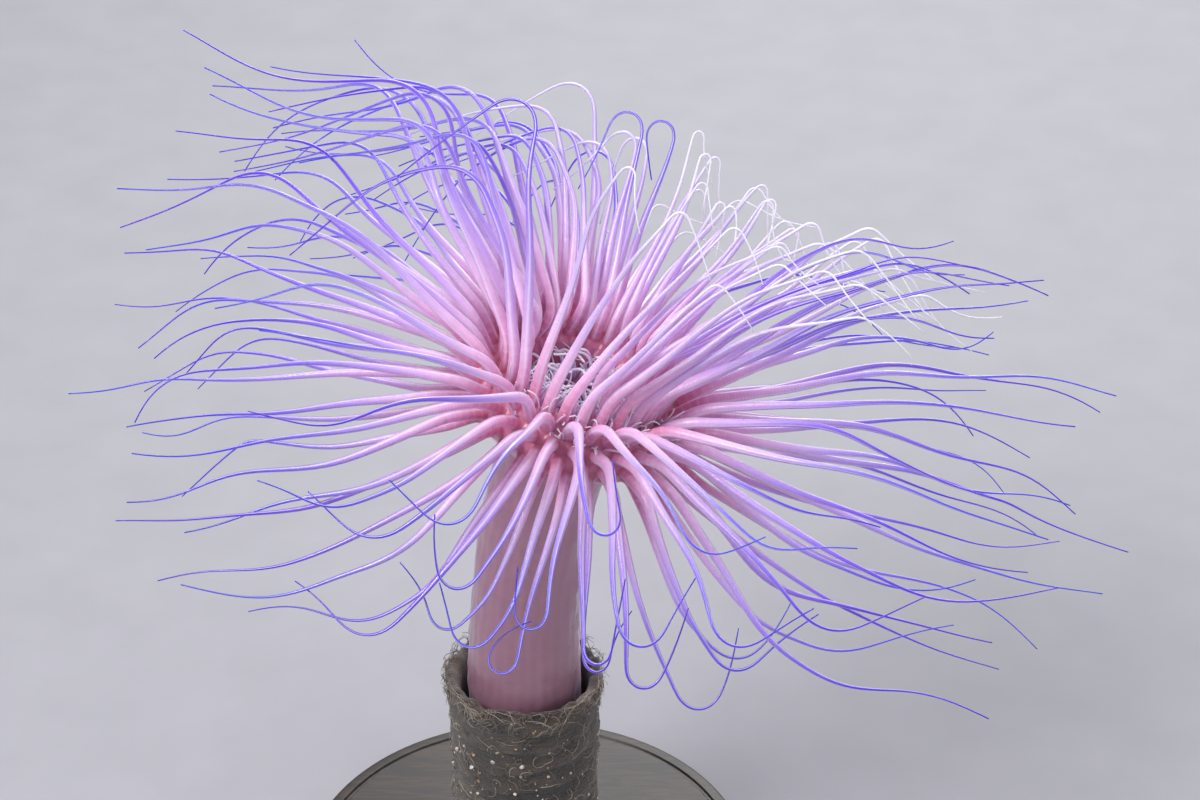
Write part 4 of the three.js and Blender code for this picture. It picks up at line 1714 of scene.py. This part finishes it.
    def _finish_body(self, body: bpy.types.Object, rounds: list[Round]) -> None:
        """Wrinkles the column and the disc, and gives the body its numbers.

        Args:
            body: the turned body.
            rounds: its rounds.
        """
        count = len(rounds) * self.segments
        places = read_places(body)
        centres = np.repeat([r.centre for r in rounds], self.segments, axis=0)
        place = np.repeat([r.place for r in rounds], self.segments)
        out = places[:count] - centres
        side = np.repeat([r.side for r in rounds], self.segments, axis=0)
        back = np.cross(np.repeat([r.along for r in rounds], self.segments, axis=0), side)
        azimuth = np.arctan2((out * back).sum(1), (out * side).sum(1))
        stripe = np.cos(self.stripes * azimuth)
        column = ease((self.column_end - place) / 0.06)
        lumps = np.array([noise.noise(Vector(p) * 0.16) for p in places[:count]])
        squashed = places[:count] * (0.05, 0.05, 0.42)
        folds = np.array([noise.noise(Vector(p)) for p in squashed])
        push = column * (self.lump_depth * lumps + self.fold_depth * folds + self.line_depth * stripe)
        push += band(place, *self.disc_places, 0.03) * self.rib_depth * stripe
        pleats = np.cos(0.8 * self.stripes * azimuth)
        push += band(place, *self.lip_places, 0.02) * self.pleat_depth * pleats
        axis = np.where((place > 0.65)[:, None], self.crown.axis, unit(out))
        places[:count] += axis * push[:, None]
        slit = ease((place - self.slit_place) / 0.03)
        places[:count] -= back * ((out * back).sum(1) * self.slit_pinch * slit)[:, None]
        write_places(body, places)
        values = {name: np.zeros(len(places)) for name in self.names}
        values["place"][:count] = place
        values["place"][count:] = (0, 1)
        values["stripe"][:count] = stripe
        write_values(body, values)

    @staticmethod
    def _heights(rounds: Sequence[Round]) -> np.ndarray:
        """How far along the body's profile each round stands.

        Args:
            rounds: the body's rounds.

        Returns:
            A share from 0 to 1 for each.
        """
        centres = np.array([r.centre for r in rounds])
        radii = np.array([r.radius for r in rounds])
        steps = np.hypot(np.linalg.norm(np.diff(centres, axis=0), axis=1), np.diff(radii))
        return np.concatenate([[0], np.cumsum(steps)]) / steps.sum()

    def _open_rim(self, body: bpy.types.Object, tentacles: list[Tentacle]) -> None:
        """Cuts a square hole in the rim at the root of each tentacle.

        Args:
            body: the body.
            tentacles: the tentacles whose roots are opened.
        """
        centres = np.array([p.center for p in body.data.polygons]) / MM
        azimuth, lift, angle = self.crown.about_rim(centres)
        on_rim = abs(lift) < self.on_rim
        chosen = np.zeros(len(centres), bool)
        for tentacle in tentacles:
            if tentacle.kind in (Kind.MARGINAL, Kind.SLENDER):
                off = (azimuth - tentacle.azimuth + 180) % 360 - 180
                near = (abs(off) < self.half_azimuth) & (abs(angle - tentacle.angle) < self.half_row)
                chosen |= near & on_rim
        activate(body)
        bpy.context.tool_settings.mesh_select_mode = (False, False, True)
        bpy.ops.object.mode_set(mode="EDIT")
        bpy.ops.mesh.select_all(action="DESELECT")
        bpy.ops.object.mode_set(mode="OBJECT")
        body.data.polygons.foreach_set("select", chosen)
        bpy.ops.object.mode_set(mode="EDIT")
        bpy.ops.mesh.delete(type="FACE")
        bpy.ops.object.mode_set(mode="OBJECT")
        LOG.info("opened %d faces of the rim", int(chosen.sum()))

    def _root_ring(self, growth: Growth, tentacle: Tentacle, numbers: tuple) -> list[int]:
        """The square ring of corners round a root's hole, on the rim.

        Args:
            growth: the surface that it is added to.
            tentacle: the tentacle.
            numbers: what its corners carry.

        Returns:
            The corners' numbers, anticlockwise seen from outside.
        """
        steps = [-1.0, -0.5, 0.0, 0.5]
        edge = [(1.0, t) for t in steps]
        edge += [(-t, 1.0) for t in steps]
        edge += [(-1.0, -t) for t in steps]
        edge += [(t, -1.0) for t in steps]
        made = []
        for turn, rise in edge:
            place = self.crown.rim(
                tentacle.azimuth + turn * self.half_azimuth, tentacle.angle + rise * self.half_row,
                self.crown.rim_section,
            )
            made.append(growth.corner(place, numbers))
        return made

    @staticmethod
    def _sides(radius: float) -> int:
        """How many corners a ring of a tentacle has."""
        return 12 if radius > 1.75 else 9 if radius > 1.05 else 6

    def _grow(self, tentacles: list[Tentacle]) -> bpy.types.Object:
        """Grows the tentacles as one mesh, with the long ones open at their roots.

        Args:
            tentacles: all tentacles.

        Returns:
            The tentacles' mesh.
        """
        # The map has the body at the foot, the short tentacles over it and three rows of long ones on top.
        growth = Growth(self.names, self.streaks)
        long = [t for t in tentacles if t.kind in (Kind.MARGINAL, Kind.SLENDER)]
        columns = math.ceil(len(long) / 3)
        for n, tentacle in enumerate(long):
            u, v = (n % columns) / columns, 0.27 + 0.243 * (n // columns)
            patch = Patch(u + 0.0008, v, 1 / columns - 0.0016, 0.24)
            self._grow_long(growth, tentacle, patch)
        labial = [t for t in tentacles if t.kind in (Kind.LABIAL, Kind.BUD)]
        short = [*labial, *self._threads(tentacles)]
        LOG.info("laid %d threads", len(short) - len(labial))
        for n, tentacle in enumerate(short):
            patch = Patch(n / len(short) + 0.0005, 0.21, 1 / len(short) - 0.001, 0.055)
            self._grow_short(growth, tentacle, patch, 1.0 if n < len(labial) else self.thread_size)
        return growth.build("grown_tentacles")

    def _numbers(self, tentacle: Tentacle, place: float) -> tuple[float, ...]:
        """What the corners of a ring carry.

        Args:
            tentacle: the tentacle.
            place: how far along it the ring is.

        Returns:
            The numbers, in the order of the names.
        """
        labial = float(tentacle.kind is Kind.LABIAL)
        tone = uneven(tentacle.number, Purpose.TONE)
        body_place = self.lip_place if labial else self.rim_place
        along = 0.1 if tentacle.kind is Kind.BUD else max(0.0, place) / tentacle.line.total
        return along, body_place, tone, self._painted_light(tentacle), labial, place, 0.0

    def _painted_light(self, tentacle: Tentacle) -> float:
        """How much painted light whitens a tentacle: all that fold over get it, and some of those over the
        mouth.

        Args:
            tentacle: the tentacle.

        Returns:
            A share from 0 to 1.
        """
        if tentacle.line.folded:
            return 1.0
        first, last = self.pale_azimuths
        over_mouth = first < tentacle.azimuth < last and tentacle.angle > self.pale_above
        chosen = uneven(tentacle.number, Purpose.PALE) < self.pale_share
        return 0.7 if over_mouth and chosen else 0.0

    def _grow_long(self, growth: Growth, tentacle: Tentacle, patch: Patch) -> None:
        """Grows one long tentacle from its root's hole.

        Args:
            growth: the surface that it is added to.
            tentacle: the tentacle.
            patch: its part of the unwrapped skin.
        """
        numbers = [self._numbers(tentacle, p) for p in tentacle.places]
        ring = self._root_ring(growth, tentacle, numbers[0])
        ways = unit(np.gradient(tentacle.rings, axis=0))
        finer = 1 - self.fining * ease(tentacle.places / tentacle.line.total)
        radii = tentacle.radius(tentacle.places) * finer
        radii += self.flare * ease(1 - tentacle.places / self.flare_length)
        sides = [16 if p < 3 else self._sides(r) for p, r in zip(tentacle.places, radii)]
        middle = np.mean([growth.corners[n] for n in ring], axis=0)
        side = growth.corners[ring[0]] - middle
        growth.grow(ring, side, tentacle.rings[1:], ways[1:], radii[1:], sides[1:], numbers[1:], patch)

    def _grow_short(self, growth: Growth, tentacle: Tentacle, patch: Patch, size: float) -> None:
        """Grows one short tentacle, sunk a little into the lip.

        Args:
            growth: the surface that it is added to.
            tentacle: the tentacle.
            patch: its part of the unwrapped skin.
            size: its thickness as a share of the usual.
        """
        first = tentacle.rings[0] - self.sunk * tentacle.direction
        centres = np.vstack([first, tentacle.rings])
        places = np.concatenate([[-self.sunk], tentacle.places])
        radii = tentacle.radius(places) * size
        numbers = [self._numbers(tentacle, p) for p in places]
        growth.tube(centres, radii, [6] * len(places), numbers, patch)

    def _thread(self, own: ThreadSet, number: int, k: int) -> Tentacle:
        """Lays one fine curly thread.

        Args:
            own: the set that it belongs to.
            number: its number.
            k: its place in the set.

        Returns:
            The thread.
        """
        azimuth = own.azimuth(number, k)
        across_at = spread(own.across, number, Purpose.THREAD_ACROSS)
        lean = spread(own.leans, number, Purpose.THREAD_LEAN)
        if own is self.rim_threads:
            root = self.crown.rim(azimuth, across_at, self.crown.rim_section)
            direction = root - self.crown.rim(azimuth, across_at, 0)
            direction += lean * self.crown.outward(azimuth + 90)
        else:
            root = self._on_funnel(azimuth, across_at)
            direction = self.crown.axis + lean * self.crown.outward(azimuth)
        turn, away = self.sight.angles(unit(direction), self.thread_away)
        curl = self.thread_curl * either(number, Purpose.THREAD_CURL)
        purposes = (Purpose.THREAD_BEND, Purpose.THREAD_TIP)
        sways = [self.thread_sway * either(number, purpose) for purpose in purposes]
        length = spread(own.lengths, number, Purpose.THREAD_LENGTH)
        line = Line(self.sight, root, curled(turn, away, curl, sways, length), number)
        thread = Tentacle(Kind.LABIAL, number, 0, 0, unit(direction), line)
        thread.refine(line.places(FINE_SHORT))
        return thread

    def _threads(self, tentacles: Sequence[Tentacle]) -> list[Tentacle]:
        """Fine threads on the lips and on the front of the disc and the rim, too thin for the solids.

        Args:
            tentacles: the tentacles that they keep clear of.

        Returns:
            The threads for which there is room.
        """
        centres, widths = [], []
        for tentacle in tentacles:
            known = np.arange(len(tentacle.rings))
            wanted = np.arange(0, known[-1], self.crowd_step)
            centres.append(across(tentacle.rings, known, wanted))
            widths.append(np.interp(wanted, known, tentacle.radius(tentacle.places)))
        crowd, girths = np.vstack(centres), np.concatenate(widths) + self.thread_slack
        made = []
        for own in (self.lip_threads, self.disc_threads, self.rim_threads):
            for k in range(own.count):
                for attempt in range(self.thread_tries):
                    thread = self._thread(own, own.first + k + self.next_try * attempt, k)
                    radii = self.thread_size * thread.radius(thread.places)
                    if self._has_room(thread.rings, radii, crowd, girths):
                        made.append(thread)
                        crowd = np.vstack([crowd, thread.rings])
                        girths = np.concatenate([girths, radii])
                        break
        return made

    def _has_room(self, rings: Vec, radii: Vec, crowd: Vec, girths: Vec) -> bool:
        """Whether a thread, from its third ring on, stays clear of what is already laid.

        Args:
            rings: the thread's ring centres.
            radii: its radii.
            crowd: the centres of what is laid.
            girths: their radii.

        Returns:
            True where it touches nothing.
        """
        near = np.linalg.norm(crowd - rings[0], axis=1) < self.crowd_reach
        apart = np.linalg.norm(rings[2:, None] - crowd[None, near], axis=2)
        return bool(np.all(apart > radii[2:, None] + girths[None, near]))

    def _on_funnel(self, azimuth: float, radius: float) -> Vec:
        """The point of the disc or the lips at an azimuth and radius."""
        radii, heights, _ = np.array(self._funnel()).T
        return self.crown.point(azimuth, radius, float(np.interp(radius, radii[::-1], heights[::-1])))

    def _join(self, body: bpy.types.Object, grown: bpy.types.Object) -> None:
        """Joins the tentacles to the body at the rims of their holes.

        Args:
            body: the opened body, which keeps its name.
            grown: the tentacles.
        """
        activate(body)
        grown.select_set(True)
        bpy.ops.object.join()
        bpy.ops.object.mode_set(mode="EDIT")
        bpy.context.tool_settings.mesh_select_mode = (True, False, False)
        bpy.ops.mesh.select_all(action="SELECT")
        before = len(body.data.vertices)
        bpy.ops.mesh.remove_doubles(threshold=self.merged * MM)
        bpy.ops.mesh.normals_make_consistent(inside=False)
        bpy.ops.object.mode_set(mode="OBJECT")
        bpy.ops.object.shade_smooth()
        LOG.info("joined the tentacles, %d corners of %d merged", before - len(body.data.vertices), before)

    def _soften_roots(self, body: bpy.types.Object) -> None:
        """Smooths the skin where the tentacles leave the rim.

        Args:
            body: the joined body.
        """
        _, lift, angle = self.crown.about_rim(read_places(body))
        first, last = self.soft_angles
        soft = (abs(lift) < self.soft_lift) & (angle > first) & (angle < last)
        group = body.vertex_groups.new(name="roots")
        group.add([int(n) for n in np.flatnonzero(soft)], 1.0, "REPLACE")
        smooth = body.modifiers.new("soft roots", "SMOOTH")
        smooth.vertex_group = group.name
        smooth.factor = 0.5
        smooth.iterations = 3
        activate(body)
        bpy.ops.object.modifier_apply(modifier=smooth.name)


# ---- The felt tube ----


@dataclass
class FeltTube:
    """The animal's own tube: a sleeve of matted threads, torn at its lip, with loose threads and grit."""

    bottom: float = 12.3
    top: float = 104
    bore: float = 24
    floor: float = 3
    plain_height: float = 3
    wrap_height: float = 11
    wrap_sway: float = 7
    lump_depth: float = 0.9
    matting_depth: float = 0.4
    torn_height: float = 9
    torn_depth: float = 2.6
    segments: int = 144
    threads: int = 900
    grains: int = 420
    seed: int = 11
    # Heights and the outer radius at each.
    outside: tuple[Pair, ...] = (
        (12.3, 31), (26.3, 28.5), (60, 28), (92, 29), (100, 30.5), (104, 29.6),
    )

    def build(self) -> None:
        """Makes the sleeve and what clings to it, its threads and its grit."""
        self.random = np.random.default_rng(self.seed)
        dressed(self._sleeve(), FeltFinish().material(), ["felt_tube"])
        dressed(self._threads(), ThreadFinish().material(), [])
        dressed(self._grit(), GritFinish().material(), [])

    def _radius(self, height: float) -> float:
        """The sleeve's outer radius at a height, before its felt is roughened."""
        heights, radii = np.array(self.outside).T
        return float(np.interp(height, heights, radii))

    def _relief(self, azimuth: float, height: float) -> float:
        """How far the felt stands out, in overlapping wraps, lumps and matting.

        Args:
            azimuth: where round the tube, in radians.
            height: where up it.

        Returns:
            The relief in full.
        """
        x, y = math.cos(azimuth), math.sin(azimuth)
        sway = noise.noise(Vector((1.3 * x, 1.3 * y, 0.03 * height)))
        wrap = (height + self.wrap_sway * sway) / self.wrap_height
        step = 1 - (wrap - math.floor(wrap))
        lumps = noise.noise(Vector((2.6 * x, 2.6 * y, 0.09 * height)))
        matting = noise.noise(Vector((9 * x, 9 * y, 0.55 * height)))
        return step - 0.9 + self.lump_depth * lumps + self.matting_depth * matting

    def _standing(self, height: float) -> float:
        """How much of its relief the wall has at a height: none at the foot, and all of it above."""
        return min(1.0, (height - self.bottom) / self.plain_height)

    def _sleeve(self) -> bpy.types.Object:
        """Turns the sleeve and roughens it.

        Returns:
            The sleeve.
        """
        up, side = np.array((0, 0, 1.0)), np.array((1.0, 0, 0))
        profile = [(6.0, self.bottom), (20.0, self.bottom), (self._radius(self.bottom) - 0.8, self.bottom)]
        profile += [(self._radius(h), h) for h in np.arange(self.bottom + 1, self.top - 0.5, 1.5)]
        profile += [(29.2, self.top), (28.2, self.top + 0.5), (26.8, self.top - 0.2), (25.4, self.top - 1.6)]
        profile += [(self.bore + 0.5, h) for h in np.arange(self.top - 4, self.bottom + self.floor + 4, -4)]
        profile += [(21.5, self.bottom + self.floor + 0.3), (6.0, self.bottom + self.floor)]
        rounds = [Round(np.array((0, 0, h)), r, up, side) for r, h in profile]
        turning = Turning("felt_sleeve", rounds, self.segments)
        sleeve = turning.build()
        places = read_places(sleeve)
        raised = np.zeros(len(places))
        for n, (x, y, z) in enumerate(places):
            radius = math.hypot(x, y)
            if radius < self.bore - 1:
                continue
            azimuth = math.atan2(y, x)
            outer = radius > self.bore + 1.2
            relief = self._relief(azimuth, z) if outer else 0.3 * self._relief(azimuth, z) + 0.2
            relief *= self._standing(z)
            raised[n] = relief
            torn = ease((z - self.top + self.torn_height) / self.torn_height) * self.torn_depth
            rise = torn * noise.noise(Vector((5 * math.cos(azimuth), 5 * math.sin(azimuth), 3.0)))
            places[n] = (x + x / radius * relief, y + y / radius * relief, z + rise)
        write_places(sleeve, places)
        # The relief is kept for the felt's finish, which paints shade and light with it.
        write_values(sleeve, {"raised": raised})
        turning.unwrap(sleeve, Patch(0, 0, 1, 1), [n / (len(rounds) - 1) for n in range(len(rounds))])
        activate(sleeve)
        bpy.ops.object.shade_smooth()
        return sleeve

    def _on_wall(self, azimuth: float, height: float, lift: float) -> Vec:
        """A point on the outer wall.

        Args:
            azimuth: where round it, in radians.
            height: where up it.
            lift: how far off the felt.

        Returns:
            The point.
        """
        relief = self._relief(azimuth, height) * self._standing(height)
        radius = self._radius(height) + relief + lift
        return np.array((radius * math.cos(azimuth), radius * math.sin(azimuth), height))

    def _threads(self) -> bpy.types.Object:
        """Lays loose threads over the wall and lets more of them fray from the lip.

        Returns:
            The threads.
        """
        growth = Growth(("tone",))
        steps = 8
        for n in range(self.threads):
            frayed = n % 3 == 0
            azimuth = self.random.uniform(0, 2 * math.pi)
            height = self.top - self.random.uniform(0, 5) if frayed else self.random.uniform(15, 100)
            bearing = self.random.uniform(-0.7, 0.7) + (math.pi if self.random.random() < 0.5 else 0)
            if frayed:
                bearing = self.random.uniform(0.2, 2.9)
            swerve = self.random.normal(0, 0.35)
            step = self.random.uniform(0.8, 1.9)
            lifts = np.cumsum(np.abs(self.random.normal(0, 0.32 if frayed else 0.16, steps)))
            points = []
            for k in range(steps):
                points.append(self._on_wall(azimuth, min(height, self.top + 2.5), float(lifts[k]) - 0.25))
                bearing += swerve + self.random.normal(0, 0.18)
                azimuth += math.cos(bearing) * step / 29
                height = max(14.0, height + math.sin(bearing) * step)
            radii = np.linspace(0.16, 0.07, steps) * self.random.uniform(0.7, 1.5)
            tone = (float(self.random.uniform(0, 1)),)
            patch = Patch.tile(n, 30, 0.029)
            growth.tube(np.array(points), radii, [3] * steps, [tone] * steps, patch)
        return growth.build("felt_threads")

    def _grit(self) -> bpy.types.Object:
        """Presses grains of sand and crumbs of shell into the wall, each a rough chip of its own shape.

        Returns:
            The grains.
        """
        bpy.ops.object.select_all(action="DESELECT")
        bpy.ops.mesh.primitive_ico_sphere_add(subdivisions=1, radius=1)
        pattern = bpy.context.object
        shape = np.array([v.co for v in pattern.data.vertices])
        faces = [tuple(p.vertices) for p in pattern.data.polygons]
        bpy.data.objects.remove(pattern)
        growth = Growth(("tone",))
        for n in range(self.grains):
            azimuth = self.random.uniform(0, 2 * math.pi)
            height = 14 + 88 * self.random.uniform(0, 1) ** 1.25
            size = 0.3 + 0.75 * self.random.uniform(0, 1) ** 2.5
            flat = self.random.uniform(0.35, 1.0)
            turned = Matrix.Rotation(self.random.uniform(0, 6.28), 3, Vector(self.random.normal(0, 1, 3)))
            rough = shape * (1 + self.random.normal(0, 0.16, (len(shape), 1)))
            out = np.array((math.cos(azimuth), math.sin(azimuth), 0))
            chip = rough @ np.array(turned) * size
            chip -= np.outer(chip @ out, out) * (1 - flat)
            places = chip + self._on_wall(azimuth, height, 0.1)
            tone = (float(self.random.uniform(0, 1)),)
            first = len(growth.corners)
            for place in places:
                growth.corner(place, tone)
            patch = Patch.tile(n, 21, 0.042)
            for face in faces:
                growth.faces.append(tuple(first + number for number in face))
                growth.unwrap += [patch.place(0, 0), patch.place(1, 0), patch.place(0, 1)]
        grit = growth.build("felt_grit")
        grit.data.polygons.foreach_set("use_smooth", np.zeros(len(grit.data.polygons), bool))
        return grit


# ---- The display base ----


@dataclass
class DisplayBase:
    """A turned round base with rounded edges and a groove round its top."""

    radius: float = 88
    height: float = 12
    rounding: float = 1.2
    border: float = 4.5
    # The widths of the groove's outer side, floor and inner side, and how far each rises.
    groove: tuple[Pair, ...] = ((0.7, -0.7), (0.9, 0.0), (0.7, 0.7))
    rings: int = 4
    innermost: float = 33
    segments: int = 160

    def build(self) -> None:
        """Turns the base, which stands for the node of the same shape."""
        bpy.ops.object.select_all(action="DESELECT")
        bpy.ops.mesh.primitive_cylinder_add(
            vertices=self.segments, radius=self.radius * MM, depth=self.height * MM,
            location=(0, 0, self.height * MM / 2),
        )
        base = bpy.context.object
        base.name = base.data.name = "turned_base"
        bpy.ops.object.transform_apply(location=True, rotation=True, scale=True)
        bpy.ops.object.mode_set(mode="EDIT")
        bpy.context.tool_settings.mesh_select_mode = (False, False, True)
        self._pick_top(base)
        for width, rise in ((self.border, 0.0), *self.groove):
            bpy.ops.mesh.inset(thickness=width * MM, depth=rise * MM)
        left = self.radius - self.border - sum(width for width, _ in self.groove) - self.innermost
        for _ in range(self.rings):
            bpy.ops.mesh.inset(thickness=left / self.rings * MM, depth=0)
        bpy.ops.object.mode_set(mode="OBJECT")
        self._bevel(base)
        activate(base)
        bpy.ops.object.shade_smooth_by_angle(angle=math.radians(35))
        dressed(base, LacquerFinish().material(), ["stand_base"])

    @staticmethod
    def _pick_top(base: bpy.types.Object) -> None:
        """Selects the top face alone.

        Args:
            base: the base, in edit mode.
        """
        mesh = bmesh.from_edit_mesh(base.data)
        bpy.ops.mesh.select_all(action="DESELECT")
        for face in mesh.faces:
            face.select = face.normal.z > 0.9
        bmesh.update_edit_mesh(base.data)

    def _bevel(self, base: bpy.types.Object) -> None:
        """Rounds the edges.

        Args:
            base: the base.
        """
        bevel = base.modifiers.new("rounded edges", "BEVEL")
        bevel.width = self.rounding * MM
        bevel.segments = 4
        bevel.limit_method = "ANGLE"
        bevel.angle_limit = math.radians(60)
        activate(base)
        bpy.ops.object.modifier_apply(modifier=bevel.name)


# ---- The studio ----


@dataclass(frozen=True)
class SoftLight:
    """A square soft light: where it stands, its size in metres and its power."""

    name: str
    place: tuple[float, float, float]
    size: float
    power: float

    def build(self, target: Vector) -> None:
        """Sets the light up, facing a target.

        Args:
            target: where it faces.
        """
        data = bpy.data.lights.new(self.name, "AREA")
        data.shape = "SQUARE"
        data.size = self.size
        data.energy = self.power
        light = bpy.data.objects.new(self.name, data)
        light.location = self.place
        light.rotation_euler = (target - Vector(self.place)).to_track_quat("-Z", "Y").to_euler()
        bpy.context.scene.collection.objects.link(light)


@dataclass
class Studio:
    """A plain pale floor, soft lights and the camera in the display view."""

    sight: Sight
    crown: Crown
    distance: float = 1150
    view_width: float = 432
    view_offset: float = 9
    sensor: float = 36
    floor_size: float = 12
    lights: tuple[SoftLight, ...] = (
        SoftLight("key", (-0.9, -0.7, 1.5), 0.7, 22),
        SoftLight("fill", (1.2, -0.9, 0.9), 1.2, 6),
        SoftLight("back", (0.3, 1.2, 1.1), 0.9, 16),
        SoftLight("top", (0.0, 0.0, 1.9), 1.2, 9),
    )
    sky: str = "cfd2d8"
    sky_strength: float = 0.45

    def build(self) -> None:
        """Sets up the floor, the lights, the sky and the camera."""
        bpy.context.scene.view_settings.view_transform = "Standard"
        self._floor()
        aim = Vector(np.array(self.crown.centre) * MM)
        for light in self.lights:
            light.build(aim)
        self._sky()
        self._camera()

    def _floor(self) -> None:
        """Lays the floor."""
        bpy.ops.object.select_all(action="DESELECT")
        bpy.ops.mesh.primitive_plane_add(size=self.floor_size, location=(0, 0, 0))
        floor = bpy.context.object
        floor.name = "studio_floor"
        floor.data.materials.append(FloorFinish().material())
        floor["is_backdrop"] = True

    def _sky(self) -> None:
        """Gives the room an even pale light."""
        world = bpy.data.worlds.new("studio")
        world.use_nodes = True
        background = world.node_tree.nodes["Background"]
        background.inputs["Color"].default_value = linear(self.sky)
        background.inputs["Strength"].default_value = self.sky_strength
        bpy.context.scene.world = world

    def _camera(self) -> None:
        """Sets the camera on the line of sight, level with the crown's middle."""
        right, _, away = self.sight.axes
        target = np.array(self.crown.centre) + right * self.view_offset
        data = bpy.data.cameras.new("display view")
        data.sensor_width = self.sensor
        data.lens = self.sensor * self.distance / self.view_width
        camera = bpy.data.objects.new("display view", data)
        camera.location = Vector((target - away * self.distance) * MM)
        camera.rotation_euler = Vector(away).to_track_quat("-Z", "Y").to_euler()
        bpy.context.scene.collection.objects.link(camera)
        bpy.context.scene.camera = camera


def write_sizes() -> None:
    """Works out the CAD box and the visual model's box side by side, and keeps neither."""
    boxes = {"cad": CAD_BOX, "visual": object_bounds()}
    {name: [list(corner) for corner in box] for name, box in boxes.items()}


def main() -> None:
    """Builds the model and its studio."""
    logging.basicConfig(level=logging.INFO, format="%(message)s")
    sight, crown = Sight(), Crown()
    Studio(sight, crown).build()
    Skin(sight, crown).build()
    FeltTube().build()
    DisplayBase().build()
    write_sizes()


if __name__ == "__main__":
    main()
